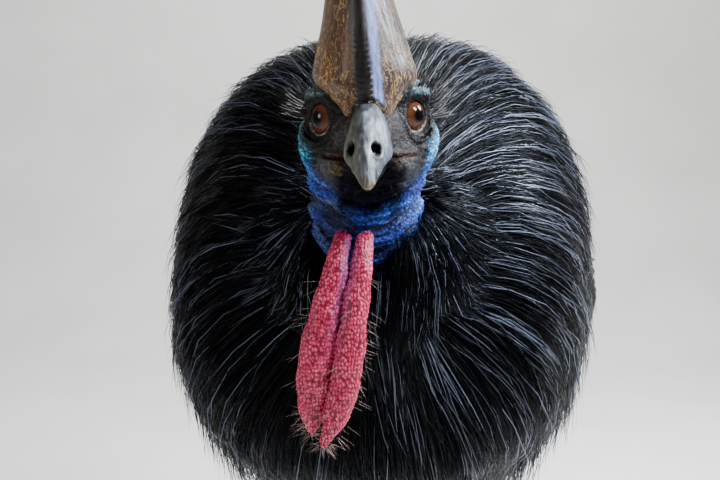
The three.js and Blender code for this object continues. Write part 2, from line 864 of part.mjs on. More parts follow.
for (const [name, side] of sides) {
  addNode(bird, `wing_${name}`, wing(side, 0).subtract(torsoCore(GAP)), "wing");
  plumage = plumage.subtract(wing(side, GAP));
}

for (const [name, side] of sides) {
  const leg = thigh(side).subtract(shank(side, GAP));
  plumage = plumage.subtract(thighCore(side, GAP));
  addNode(bird, `thigh_${name}`, leg, "plumage");
  addNode(bird, `shank_${name}`, onFloor(shank(side, 0)), "leg");
  let earlier = shank(side, GAP);
  for (const spec of [TOES[1], TOES[0], TOES[2]]) {
    addNode(bird, `toe_${spec.name}_${name}`, onFloor(toe(spec, side, 0)).subtract(earlier), "leg");
    addNode(
      bird,
      `claw_${spec.name}_${name}`,
      onFloor(claw(spec, side)).subtract(toe(spec, side, GAP)).subtract(earlier),
      "claw",
    );
    earlier = earlier.add(toe(spec, side, GAP));
  }
}

addNode(bird, "torso", wasm.Manifold.union([torsoCore(0), neckRoot, plumage]), "plumage");

// The origin is on the floor, below the middle of the whole bird.
const box = new THREE.Box3().setFromObject(bird);
const middle = box.getCenter(new THREE.Vector3());
bird.position.set(-middle.x, -middle.y, 0);

export default new THREE.Group().add(bird);
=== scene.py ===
import math

import bpy
import numpy as np
from mathutils import Matrix, Vector
from mathutils.kdtree import KDTree


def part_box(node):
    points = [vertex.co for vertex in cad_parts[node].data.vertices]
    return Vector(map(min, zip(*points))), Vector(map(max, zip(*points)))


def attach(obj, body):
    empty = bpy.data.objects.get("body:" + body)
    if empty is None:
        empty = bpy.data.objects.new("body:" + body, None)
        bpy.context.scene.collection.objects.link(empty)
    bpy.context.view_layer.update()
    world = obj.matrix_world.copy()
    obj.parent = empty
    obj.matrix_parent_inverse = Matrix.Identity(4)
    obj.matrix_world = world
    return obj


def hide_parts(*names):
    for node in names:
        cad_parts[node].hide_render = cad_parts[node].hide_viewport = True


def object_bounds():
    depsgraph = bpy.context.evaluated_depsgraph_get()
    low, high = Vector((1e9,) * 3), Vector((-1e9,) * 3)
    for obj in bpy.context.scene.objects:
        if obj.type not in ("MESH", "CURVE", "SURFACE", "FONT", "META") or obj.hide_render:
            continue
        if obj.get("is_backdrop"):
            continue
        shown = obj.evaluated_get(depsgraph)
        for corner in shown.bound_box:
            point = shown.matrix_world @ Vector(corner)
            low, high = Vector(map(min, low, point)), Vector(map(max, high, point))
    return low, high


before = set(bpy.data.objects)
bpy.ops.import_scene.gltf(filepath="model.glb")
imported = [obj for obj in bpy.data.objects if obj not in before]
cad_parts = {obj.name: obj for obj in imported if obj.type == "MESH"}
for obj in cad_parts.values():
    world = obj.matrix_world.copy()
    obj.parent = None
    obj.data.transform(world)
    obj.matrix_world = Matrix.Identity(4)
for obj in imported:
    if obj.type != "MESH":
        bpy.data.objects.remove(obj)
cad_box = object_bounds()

# Shapes are worked out in millimetres, in the bird's own frame, with the bird facing -Y.
# placed() turns them into the frame's metres.

MM = 0.001
TURN = 2 * math.pi
TINY = 1e-6
UP = np.array([0, 0, 1.0])
rng = np.random.default_rng(11)

# The body under the coat, as rounded masses that flow into one another.
COAT_MASSES = [
    ((0, 20, 800), (274, 400, 315), 2.35),
    ((0, -285, 795), (223, 218, 204), 2.2),
    ((0, 300, 735), (200, 205, 215), 2.1),
    ((0, -488, 850), (70, 80, 84), 2.3),
]
COAT_BLEND = 70
COAT_DEPTH = 26
CORE_MARGIN = 3
COAT_LOWEST = 505
UNWRAP_CENTRE = (0, 0, 785)
UNWRAP_RADII = (270, 520, 300)
FLOW_NECK = np.array([0.0, -500.0, 905.0])
FLOW_BODY = np.array([0.0, -508.0, 827.0])

NECK_PATH = [
    (0, -550, 992), (-4, -530, 950), (-4, -515, 908), (0, -500, 870), (0, -455, 830), (0, -395, 800),
]
NECK_HALF = [(48, 45), (46, 44), (58, 54)]
BORDER_AT = np.array([0.0, -512.0, 906.0])
BORDER_TILT = math.radians(19)
SKIN_UNDER_COAT = 55
BORDER_UP = np.array([0.0, -math.sin(BORDER_TILT), math.cos(BORDER_TILT)])

HEAD_AT = np.array([0.0, -590.0, 1000.0])
HEAD_YAW = math.radians(2.66)
HEAD_ROLL = math.radians(-1.75)
HEAD_BLEND = 16
HEAD_MASSES = [
    ((0, 26, -4), (43, 44, 38), 2),
    ((0, -34, -13), (17, 34, 16), 2),
    ((0, -17, -14), (25, 34, 20), 2),
    ((0, 8, -40), (29, 44, 24), 2),
    ((0, 46, -26), (39, 30, 38), 2),
]
HEAD_PAIRS = [
    ((27, 12, 16.5), (22, 21, 12.5), 2),
    ((27, 8, -3), (14, 15, 17), 2),
    ((34, 26, -22), (20, 27, 25), 2),
    ((21, -14, -36), (15, 38, 12), 2),
]
EYE_RADIUS = 16
EYE_AT = (28, 8, 0)
GAZE_OUT = math.radians(50)
LID_THICK = 2.4
LID_OPENING = math.radians(50)
LID_RIM_OUT = 1.1
LID_RIM_THICK = 1.5
LID_BLEND = 3
LID_RIM_BLEND = 1.5
HOLE_MARGIN = 3
SOCKET_GAP = 0.15
EAR_AT = (52, 38, -12)
# The brows' colours differ from side to side as painted light: cyan on the bird's left, pale grey green on
# its right.
BROWS = {1: (34, 142, 176), -1: (104, 130, 124)}
MOUTH_PATH = [
    (15, -52, -29), (21, -49.5, -29), (27, -44, -28.5), (34, -30, -28), (40, -12, -27.5), (46, 2, -28),
]

CASQUE_ROWS = [
    (-12, 13, -48, -16), (4, 19, -51, -6), (17, 28.5, -51, 32), (30, 39.8, -50, 47), (50, 36, -47, 48),
    (72, 30, -43, 47), (95, 24.5, -38, 46), (120, 18.5, -30, 43), (145, 13, -18, 38), (162, 8.5, -4, 30),
    (171, 4, 6, 22),
]
CASQUE_LEAN = -0.055
CASQUE_EDGE = 1.55
CASQUE_ENDS = (0.1, 0.08)
UPPER_BILL_ROWS = [
    (-24, 13, 4, -20, -22), (-44, 14.5, 10, -22, -27), (-54, 16.5, 9, -23.5, -30), (-68, 17.2, 2, -26, -33),
    (-82, 12.6, -7, -32, -37.5), (-94, 8.4, -17, -38.5, -42.5), (-103, 5.6, -26, -43.5, -47),
    (-109, 3.4, -34, -46.5, -50),
]
LOWER_BILL_ROWS = [
    (-24, 14, -23, -26, -38), (-46, 13.5, -28, -30, -43), (-66, 10.5, -33, -35, -46),
    (-84, 6.2, -39, -41, -49), (-96, 3.4, -44, -46, -51),
]
NOSTRILS = {1: ((6.6, -91, -21.5), (6.6, 11, 5.8)), -1: ((-13.2, -80, -21.5), (3.8, 9, 5.8))}
NOSTRIL_DEPTH = 4.5
UPPER_SECTION = (0.16, 0.72)
LOWER_SECTION = (0.1, 0.85)
BILL_RIDGE = 0.3
BILL_LEAN = 2.2
BILL_ENDS = (0.1, 0.16)

WATTLES = {
    "right": (
        [(-19, -550, 912), (-23, -569, 894), (-29, -582, 862), (-38, -586, 824), (-44, -583, 790),
         (-45, -579, 764), (-46, -576, 743)],
        [(4.5, 4), (8.6, 7), (11.6, 8), (13.6, 8.5), (14.2, 8.5), (12, 8), (8, 6)],
    ),
    "left": (
        [(-2, -550, 912), (-4, -570, 894), (-8, -585, 862), (-13, -590, 824), (-18, -588, 790),
         (-26, -584, 761), (-37, -581, 733)],
        [(5.5, 4.5), (8, 6.5), (9.8, 7.5), (11.2, 8), (11.8, 8), (10.6, 7.5), (5.5, 5)],
    ),
}
WATTLE_BULB = 0.9

STEP = 30
HIP = (112, -40, 690)
KNEE = (122, -35, 600)
ANKLE = (108, 124, 372)
FOOT = (112, 78, 46)
THIGH_HALF = [(78, 92), (72, 84), (52, 58), (31, 34), (22, 25)]
THIGH_DEPTH = 12
SHANK_HALF = [(23, 27), (17.5, 21), (15.5, 18.5), (16, 19), (22, 22)]
SHANK_SCUTES = 22
TOE_SCUTES = 14
TOES = {
    # turn, length, thickness, length of the claw, how far the claw arches
    "inner": (-30, 92, 14, 98, 5),
    "middle": (4, 138, 16, 42, 3),
    "outer": (34, 104, 14, 36, 3),
}
WING_NEAR = (270, -110, 820)
WING_SINK = 19
QUILLS = 5
QUILL_LENGTH = 270
QUILL_THICK = 2.6
QUILL_TAPER = (1, 0.7, 0.25)
QUILL_STEPS = 24
LEG_PARTS = ("thigh", "shank", "toe_inner", "toe_middle", "toe_outer")

SIDES = {"left": 1, "right": -1}

# How finely forms are made, and the boxes that the nets search: how far they reach below and above a place.
HEAD_BOX = ((72, 100, 162), (72, 150, 52))
BODY_BOX = ((-300, -640, 420), (300, 560, 1150))
LEG_REACH = (95, 175, 135)
LEG_HEIGHTS = (-4, 585)
PATH_STEPS = 40
LINE_POINTS = 121
SEARCH_SKIP = 8
GRID_SKIP = 4
GRID_NEAR = 1.9
SKIN_STEP = 1.45
LEG_STEP = 2.6
BODY_STEP = 11
CASQUE_GRID = (150, 190)
BILL_GRID = (130, 112)
WATTLE_GRID = (240, 96)
CLAW_GRID = (60, 36)
QUILL_GRID = (50, 12)
EYE_GRID = (np.concatenate([np.linspace(0, 0.34, 60), np.linspace(0.36, 1, 30)]), 96)

# How many strands and hairs there are, how many make a clump and how strongly they are drawn together,
# their half widths and lengths in millimetres, and how the width runs from root to tip.
COAT_PIECES = 7
STRANDS_A_PIECE = 8400
RUFF_STRANDS = 6000
THIGH_STRANDS = 3600
LASHES = 90
FACE_HAIRS = 2300
WATTLE_HAIRS = 130
COAT_CLUMPS = (14, 0.3, 0.85)
RUFF_CLUMPS = (18, 0.6, 0.98)
THIGH_CLUMPS = (12, 0.2, 0.7)
COAT_HALF = (0.45, 0.85)
SHEEN_HALF = (0.5, 0.75)
RUFF_HALF = (0.4, 0.75)
THIGH_COAT_HALF = (0.55, 0.95)
FACE_HAIR_HALF = (0.13, 0.2)
LASH_HALF = 0.5
WATTLE_HAIR_HALF = 0.12
RUFF_LENGTHS = (50, 120)
THIGH_LENGTHS = (55, 95)
FACE_HAIR_LENGTHS = (3.5, 9)
WATTLE_HAIR_LENGTHS = (7, 17)
COAT_TAPER = (0.5, 1.0, 0.95, 0.7, 0.1)
RUFF_TAPER = (0.6, 1.0, 0.85, 0.55, 0.08)
THIGH_TAPER = (0.5, 1.0, 0.9, 0.6, 0.1)
HAIR_TAPER = (1.0, 1.0, 0.8, 0.55, 0.1)
STRAND_RINGS = len(COAT_TAPER)
RING_SHARES = np.linspace(0, 1, STRAND_RINGS)
STRAND_DEPTH = 0.8
# The share of coat strands painted with a blue white sheen, and their shades.
SHEEN_SHARE = 0.085
SHEEN_SHADES = (0.82, 1)

# The studio, in metres: a floor that sweeps up into a wall behind the bird.
FLOOR_FRONT = -8.0
FLOOR_BACK = 2.6
FLOOR_SIDE = 8
FLOOR_COLUMNS = 12
SWEEP_RADIUS = 1.4
SWEEP_STEPS = 12
WALL_TOP = 5.0
LIGHTS = {
    # place, target, size, power, colour
    "key": ((1.6, -1.1, 2.4), (0, -0.3, 0.85), 0.7, 130, (0.93, 0.96, 1.0)),
    "top": ((0.3, 0.9, 2.9), (0, 0.0, 0.9), 1.2, 90, (0.95, 0.97, 1.0)),
    "rim": ((1.9, 0.5, 2.2), (0.1, -0.2, 0.85), 0.8, 150, (0.82, 0.9, 1.0)),
    "fill": ((-2.0, -1.5, 1.5), (0, -0.3, 0.8), 0.9, 24, (1.0, 0.97, 0.93)),
    "backdrop": ((0, 1.5, 3.4), (0, 4.0, 1.4), 2.0, 110, (1.0, 1.0, 1.0)),
}
SKY_COLOUR = (0.9, 0.93, 0.97, 1)
SKY_STRENGTH = 0.2

# The photo's view: from a little above the eyes, close in front of the bird, which looks into the lens.
CAMERA_AT = (30, -1366, 1000)
CAMERA_YAW = HEAD_YAW
CAMERA_PITCH = math.radians(7)
CAMERA_LENS = 50
CAMERA_SENSOR = 36
CAMERA_NEAR = 0.01

# Colours as they look on screen, turned into the linear ones that shaders take.


def tone(red, green, blue):
    share = np.array([red, green, blue]) / 255
    return np.where(share < 0.04045, share / 12.92, ((share + 0.055) / 1.055) ** 2.4)


# Numbers


def ramp(value, low, high):
    """A smooth rise from 0 at low to 1 at high."""
    share = np.clip((value - low) / (high - low), 0, 1)
    return share * share * (3 - 2 * share)


def unit(v):
    return v / np.maximum(np.linalg.norm(v, axis=-1, keepdims=True), 1e-9)


# Large numbers that scramble a cell's place, and a shift that keeps noise off the frame's own planes.
SCRAMBLE = (73856093, 19349663, 83492791)
SCRAMBLE_KIND = 40503
SCRAMBLE_AGAIN = 1274126177
NOISE_SHIFT = 500.5
CORNERS = np.array([(x, y, z) for x in (0, 1) for y in (0, 1) for z in (0, 1)])
NEIGHBOURS = [(x, y, z) for x in (-1, 0, 1) for y in (-1, 0, 1) for z in (-1, 0, 1)]


def drawn(cell, kind):
    """An even draw from 0 to 1 for each whole-numbered cell."""
    x, y, z = (cell[..., k].astype(np.int64) & 0xFFFFF for k in range(3))
    mixed = x * SCRAMBLE[0] ^ y * SCRAMBLE[1] ^ z * SCRAMBLE[2] ^ kind * SCRAMBLE_KIND
    mixed = (mixed ^ (mixed >> 13)) & 0x7FFFFFFF
    mixed = (mixed * SCRAMBLE_AGAIN) & 0x7FFFFFFF
    mixed = mixed ^ (mixed >> 15)
    return (mixed & 0xFFFFFF) / 0xFFFFFF


def clouds(p, size, kind=0):
    """Smooth noise from -1 to 1 with features of the given size."""
    q = p / size + NOISE_SHIFT
    cell = np.floor(q)
    share = q - cell
    share = share * share * (3 - 2 * share)
    total = np.zeros(len(p))
    for corner in CORNERS:
        weight = np.prod(np.where(corner, share, 1 - share), axis=-1)
        total += weight * drawn(cell + corner, kind)
    return total * 2 - 1


def pebbles(p, size, kind=0):
    """How far each point is from the nearest scattered centre and from the next one."""
    q = p / size + NOISE_SHIFT
    cell = np.floor(q)
    near = np.full(len(p), 9.0)
    second = np.full(len(p), 9.0)
    for step in NEIGHBOURS:
        at = cell + step
        centre = at + 0.15 + 0.7 * np.stack([drawn(at, kind + k) for k in range(3)], -1)
        away = np.linalg.norm(q - centre, axis=-1)
        second = np.minimum(second, np.maximum(near, away))
        near = np.minimum(near, away)
    return near, second


def layered(base, *layers):
    """A colour with others laid over it in turn, each in a share for each point."""
    for colour, share in layers:
        base = base * (1 - share[:, None]) + tone(*colour) * share[:, None]
    return base


def along(rows, t):
    """A smooth reading of evenly spaced rows at shares t of their length."""
    rows = np.asarray(rows, float)
    at = np.clip(t, 0, 1) * (len(rows) - 1)
    i = np.minimum(np.floor(at).astype(int), len(rows) - 2)
    s = (at - i)[..., None]
    a, b, c, d = (rows[np.clip(i + k, 0, len(rows) - 1)] for k in (-1, 0, 1, 2))
    return b + 0.5 * s * (c - a + s * (2 * a - 5 * b + 4 * c - d + s * (3 * (b - c) + d - a)))


def round_ends(t, start, end):
    """How far a tube has swollen to its full size at share t."""
    first = np.sqrt(np.maximum(0, 1 - np.maximum(0, 1 - t / start) ** 2))
    last = np.sqrt(np.maximum(0, 1 - np.maximum(0, 1 - (1 - t) / end) ** 2))
    return np.minimum(first, last)


def rounded(value, power):
    """A power that keeps the sign."""
    return np.sign(value) * np.abs(value) ** power


# Frames

HEAD_TURN = np.array(Matrix.Rotation(HEAD_YAW, 3, "Z") @ Matrix.Rotation(HEAD_ROLL, 3, "Y"))


def from_head(q):
    """Points of the head's frame, in the bird's frame."""
    return np.asarray(q, float) @ HEAD_TURN.T + HEAD_AT


def to_head(p):
    return (p - HEAD_AT) @ HEAD_TURN


def middle_of(*nodes):
    corners = np.array([[*corner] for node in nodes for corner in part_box(node)])
    return (corners.min(0) + corners.max(0)) / 2


SHIFT = middle_of("eye_left", "eye_right") / MM - from_head((0, EYE_AT[1], EYE_AT[2]))


def placed(p):
    return (np.asarray(p, float) + SHIFT) * MM


# Distances outside a form, in millimetres, and so below zero inside it


def outside_mass(p, mass):
    centre, radii, power = mass
    q = np.maximum(np.abs(p - centre) / radii, TINY)
    raised = q ** (power - 1)
    reach = (raised * q).sum(-1) ** (1 / power)
    slope = np.linalg.norm(raised / radii, axis=-1) * reach ** (1 - power)
    return (reach - 1) / slope


def blended(a, b, width):
    """Two forms flowing into one over a width."""
    h = np.maximum(width - np.abs(a - b), 0) / width
    return np.minimum(a, b) - h * h * width * 0.25


def outside_masses(p, masses, width):
    total = outside_mass(p, masses[0])
    for mass in masses[1:]:
        total = blended(total, outside_mass(p, mass), width)
    return total


def outside_coat(p):
    return outside_masses(p, COAT_MASSES, COAT_BLEND)


def outward(outside, p, reach=1.0):
    """The way straight out of a form."""
    slope = np.stack([outside(p + axis) - outside(p - axis) for axis in np.eye(3) * reach], -1)
    return unit(slope)


def settled(outside, p, level, times=2):
    """Points moved in or out until they lie at a level outside the form."""
    for _ in range(times):
        p = p + outward(outside, p) * (level - outside(p))[:, None]
    return p


def smooth_path(path, count):
    """Evenly spaced points on a smooth curve through the given ones."""
    points = np.asarray(path, float)
    points = np.vstack([2 * points[0] - points[1], points, 2 * points[-1] - points[-2]])
    pieces = []
    for a, b, c, d in zip(points, points[1:], points[2:], points[3:]):
        before, within, after = (np.linalg.norm(v) ** 0.5 for v in (b - a, c - b, d - c))
        start = ((b - a) / before - (c - a) / (before + within) + (c - b) / within) * within
        end = ((c - b) / within - (d - b) / (within + after) + (d - c) / after) * within
        s = np.linspace(0, 1, PATH_STEPS, endpoint=False)[:, None]
        bend = 2 * b - 2 * c + start + end
        pieces.append(b + start * s + (3 * (c - b) - 2 * start - end) * s**2 + bend * s**3)
    pieces.append(points[-2:-1])
    fine = np.vstack(pieces)
    run = np.concatenate([[0], np.cumsum(np.linalg.norm(np.diff(fine, axis=0), axis=1))])
    wanted = np.linspace(0, run[-1], count)
    return np.stack([np.interp(wanted, run, fine[:, k]) for k in range(3)], -1), run[-1]


class Tube:
    """A round form along a smooth path, half[0] wide across it and half[1] deep along up."""

    def __init__(self, path, half, up, ends=(0.08, 0.08)):
        self.line, self.length = smooth_path(path, LINE_POINTS)
        self.way = unit(np.gradient(self.line, axis=0))
        self.across = unit(np.cross(self.way, up))
        self.raised = np.cross(self.across, self.way)
        self.half = half
        self.ends = ends

    def sizes(self, t):
        return along(self.half, t)

    def place(self, t, angle, extra=0.0, size=None):
        """A point at share t and an angle round the tube."""
        at = np.clip(t, 0, 1) * (LINE_POINTS - 1)
        read = lambda rows: np.stack([np.interp(at, range(LINE_POINTS), rows[:, k]) for k in range(3)], -1)
        half = self.sizes(t)
        size = round_ends(t, *self.ends) if size is None else size
        wide = size * (half[..., 0] + extra) * np.cos(angle)
        deep = size * (half[..., 1] + extra) * np.sin(angle)
        return read(self.line) + read(self.across) * wide[..., None] + read(self.raised) * deep[..., None]

    def nearest_point(self, p):
        """The number of the line's point closest to each p, found roughly and then finely."""
        rough = self.line[::SEARCH_SKIP]
        start = ((rough**2).sum(1) - 2 * p @ rough.T).argmin(1) * SEARCH_SKIP
        found, closest = start, np.full(len(p), np.inf)
        for offset in range(-SEARCH_SKIP, SEARCH_SKIP + 1, 2):
            index = np.clip(start + offset, 0, LINE_POINTS - 1)
            gap = ((p - self.line[index]) ** 2).sum(1)
            found = np.where(gap < closest, index, found)
            closest = np.minimum(gap, closest)
        return found

    def nearest(self, p):
        """Share along the tube, angle round it, and distance outside it, for each point."""
        index = self.nearest_point(p)
        away = p - self.line[index]
        slide = (away * self.way[index]).sum(1)
        spacing = self.length / (LINE_POINTS - 1)
        t = np.clip((index + slide / spacing) / (LINE_POINTS - 1), 0, 1)
        x = (away * self.across[index]).sum(1)
        y = (away * self.raised[index]).sum(1)
        beyond = np.where((t <= 0) | (t >= 1), np.abs(slide), np.abs(slide) - spacing)
        beyond = np.maximum(beyond, 0)
        half = self.sizes(t)
        reach = np.hypot(x / half[:, 0], y / half[:, 1])
        radius = np.hypot(x, y)
        side = np.where(reach > TINY, radius * (1 - 1 / np.maximum(reach, TINY)), -half.min(1))
        outside = np.hypot(np.maximum(side, 0), beyond) + np.minimum(side, 0) * (beyond <= 0)
        return t, np.arctan2(y / half[:, 1], x / half[:, 0]), outside

    def outside(self, p):
        return self.nearest(p)[2]


# Surfaces


def sampled(outside, axes):
    """A form's distances on a grid, exact near its surface and coarser away from it."""
    step = axes[0][1] - axes[0][0]
    coarse_axes = [axis[::GRID_SKIP] for axis in axes]
    coarse = np.stack(np.meshgrid(*coarse_axes, indexing="ij"), -1).reshape(-1, 3)
    values = outside(coarse).reshape([len(a) for a in coarse_axes])
    for k, (fine, rough) in enumerate(zip(axes, coarse_axes)):
        at = np.clip((fine - rough[0]) / (rough[1] - rough[0]), 0, len(rough) - 1.0001)
        i = at.astype(int)
        share = (at - i).reshape([-1 if n == k else 1 for n in range(3)])
        values = np.take(values, i, k) * (1 - share) + np.take(values, i + 1, k) * share
    close = np.argwhere(np.abs(values) < step * GRID_SKIP * GRID_NEAR)
    points = np.stack([axes[k][close[:, k]] for k in range(3)], -1)
    values[tuple(close.T)] = outside(points)
    return values


def netted(outside, low, high, step, settle=2):
    """The closed surface of a form as a net of four-sided faces."""
    counts = [GRID_SKIP * math.ceil((b - a) / step / GRID_SKIP) + 1 for a, b in zip(low, high)]
    axes = [a + step * np.arange(n) for a, n in zip(low, counts)]
    values = sampled(outside, axes)
    cells = np.array(values.shape) - 1
    total = np.zeros((np.prod(cells), 3))
    hits = np.zeros(np.prod(cells))
    quads = []
    for axis in range(3):
        u, v = [k for k in range(3) if k != axis]
        first = np.take(values, range(values.shape[axis] - 1), axis)
        second = np.take(values, range(1, values.shape[axis]), axis)
        edges = np.argwhere((first < 0) != (second < 0))
        a, b = first[tuple(edges.T)], second[tuple(edges.T)]
        crossing = edges.astype(float)
        crossing[:, axis] += a / (a - b)
        around = []
        for du, dv in ((0, 0), (1, 0), (1, 1), (0, 1)):
            cell = edges.copy()
            cell[:, u] -= du
            cell[:, v] -= dv
            flat = np.ravel_multi_index(np.clip(cell, 0, cells - 1).T, cells)
            around.append(flat)
            for k in range(3):
                total[:, k] += np.bincount(flat, crossing[:, k], len(total))
            hits += np.bincount(flat, minlength=len(hits))
        quad = np.stack(around, -1)
        turned = (a < 0) == (axis != 1)
        quads.append(np.where(turned[:, None], quad, quad[:, ::-1]))
    used = np.flatnonzero(hits)
    number = np.full(len(hits), -1)
    number[used] = np.arange(len(used))
    points = np.array(low) + step * total[used] / hits[used, None]
    return settled(outside, points, 0, settle), number[np.vstack(quads)]


def lofted(place, stations, columns):
    """A closed form from rings of points, with a single point at each end."""
    t = np.linspace(0, 1, stations) if np.isscalar(stations) else stations
    angle = np.arange(columns) * TURN / columns
    tt, aa = np.meshgrid(t[1:-1], angle, indexing="ij")
    rings = place(tt.ravel(), aa.ravel())
    points = np.vstack([rings, place(t[[0, -1]], np.zeros(2))])
    j = np.arange(columns)
    k = (j + 1) % columns
    row = np.arange(len(t) - 3)[:, None] * columns
    faces = np.stack([row + j, row + k, row + columns + k, row + columns + j], -1).reshape(-1, 4)
    first = np.stack([np.full(columns, len(rings)), k, j, j], -1)
    last_row = (len(t) - 3) * columns
    last = np.stack([np.full(columns, len(rings) + 1), last_row + j, last_row + k, last_row + k], -1)
    return points, np.vstack([faces, first, last])


def in_scene(name, data):
    made = bpy.data.objects.new(name, data)
    bpy.context.scene.collection.objects.link(made)
    return made


def volume_of(points, faces):
    """Six times the volume inside closed faces, below zero where they face inwards."""
    a, b, c, d = (points[faces[:, k]] for k in range(4))
    first = (a * np.cross(b, c)).sum()
    return first + (a * np.cross(c, d)).sum()


def piece(name, points, faces, material, tint=None, numbers=None, root_uv=None):
    """A mesh object from points in the bird's frame. A face that repeats its last point is a triangle."""
    if volume_of(points - points.mean(0), faces) < 0:
        faces = faces[:, [0, 3, 2, 1]]
    repeat = (faces[:, 2] == faces[:, 3]) | (faces[:, 1] == faces[:, 2])
    three, four = faces[repeat], faces[~repeat]
    three = np.where((three[:, 1] == three[:, 2])[:, None], three[:, [0, 1, 3]], three[:, :3])
    loops = np.concatenate([four.ravel(), three.ravel()])
    starts = np.concatenate([np.arange(len(four)) * 4, len(four) * 4 + np.arange(len(three)) * 3])
    mesh = bpy.data.meshes.new(name)
    mesh.vertices.add(len(points))
    mesh.vertices.foreach_set("co", placed(points).astype(np.float32).ravel())
    mesh.loops.add(len(loops))
    mesh.loops.foreach_set("vertex_index", loops.astype(np.int32))
    mesh.polygons.add(len(starts))
    mesh.polygons.foreach_set("loop_start", starts.astype(np.int32))
    mesh.polygons.foreach_set("use_smooth", np.ones(len(starts), bool))
    mesh.update(calc_edges=True)
    if tint is not None:
        layer = mesh.attributes.new("tint", "FLOAT_COLOR", "POINT")
        rgba = np.hstack([tint, np.ones((len(tint), 1))])
        layer.data.foreach_set("color", rgba.astype(np.float32).ravel())
    for label, values in (numbers or {}).items():
        layer = mesh.attributes.new(label, "FLOAT", "POINT")
        layer.data.foreach_set("value", values.astype(np.float32))
    if root_uv is not None:
        layer = mesh.uv_layers.new(name="OFBake")
        layer.data.foreach_set("uv", root_uv[loops].astype(np.float32).ravel())
    mesh.materials.append(material)
    made = in_scene(name, mesh)
    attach(made, "root")
    return made


def joined(parts):
    """Several (points, faces) as one."""
    points, faces, start = [], [], 0
    for p, f in parts:
        points.append(p)
        faces.append(f + start)
        start += len(p)
    return np.vstack(points), np.vstack(faces)


# Materials

SOCKETS = {
    "coat": "Coat Weight",
    "coat_roughness": "Coat Roughness",
    "specular": "Specular IOR Level",
    "specular_tint": "Specular Tint",
}


class Recipe:
    """A material under construction."""

    def __init__(self, name):
        self.material = bpy.data.materials.new(name)
        self.material.use_nodes = True
        self.tree = self.material.node_tree
        self.tree.nodes.clear()
        self.output = self.tree.nodes.new("ShaderNodeOutputMaterial")
        self.place = self.add("ShaderNodeTexCoord").outputs["Object"]

    def add(self, kind, inputs=None, **settings):
        node = self.tree.nodes.new(kind)
        for key, value in settings.items():
            setattr(node, key, value)
        for key, value in (inputs or {}).items():
            if isinstance(value, bpy.types.NodeSocket):
                self.tree.links.new(value, node.inputs[key])
            else:
                node.inputs[key].default_value = value
        return node

    def noise(self, size, detail, rough=0.55, distortion=0.0, stretch=(1, 1, 1)):
        """Noise from 0 to 1 with features of a size in millimetres, drawn out along stretch."""
        inputs = {0: self.place, 1: [1 / s for s in stretch]}
        place = self.add("ShaderNodeVectorMath", inputs, operation="MULTIPLY").outputs[0]
        inputs = {"Vector": place, "Scale": 1 / (size * MM), "Detail": detail, "Roughness": rough}
        return self.add("ShaderNodeTexNoise", {**inputs, "Distortion": distortion}).outputs["Fac"]

    def cells(self, size, feature="F1"):
        """The distance in cells of a size in millimetres."""
        inputs = {"Vector": self.place, "Scale": 1 / (size * MM)}
        return self.add("ShaderNodeTexVoronoi", inputs, feature=feature).outputs["Distance"]

    def ramp(self, value, *stops):
        """A ramp through (place, colour or number) stops."""
        node = self.add("ShaderNodeValToRGB", {0: value})
        elements = node.color_ramp.elements
        while len(elements) < len(stops):
            elements.new(0.5)
        for element, (at, colour) in zip(elements, stops):
            element.position = at
            shade = [colour] * 3 if np.isscalar(colour) else list(colour)
            element.color = [*shade, 1]
        return node.outputs[0]

    def mix(self, share, a, b, kind="MIX"):
        """The colour b, plain or from a socket, laid over the colour a in a share."""
        b = b if isinstance(b, bpy.types.NodeSocket) else [*b, 1]
        return self.add("ShaderNodeMix", {0: share, 6: a, 7: b}, data_type="RGBA", blend_type=kind).outputs[2]

    def shaded(self, share, colour, value, *stops):
        """A colour made darker and lighter along a ramp, in a share."""
        return self.mix(share, colour, self.ramp(value, *stops), "MULTIPLY")

    def times(self, a, b):
        return self.add("ShaderNodeMath", {0: a, 1: b}, operation="MULTIPLY").outputs[0]

    def attribute(self, name, output="Color"):
        return self.add("ShaderNodeAttribute", attribute_name=name).outputs[output]

    def bump(self, height, depth, strength, normal=None):
        """A bump whose full height is depth millimetres, over another where a normal is given."""
        inputs = {"Height": height, "Distance": depth * MM, "Strength": strength}
        if normal is not None:
            inputs["Normal"] = normal
        return self.add("ShaderNodeBump", inputs).outputs[0]

    def finish(self, colour, roughness, normal, **plain):
        """The finished material. Plain values are set on the shader's own sockets."""
        inputs = {"Base Color": colour, "Roughness": roughness, "Normal": normal}
        inputs.update({SOCKETS[key]: value for key, value in plain.items()})
        shader = self.add("ShaderNodeBsdfPrincipled", inputs)
        self.tree.links.new(shader.outputs[0], self.output.inputs[0])
        return self.material


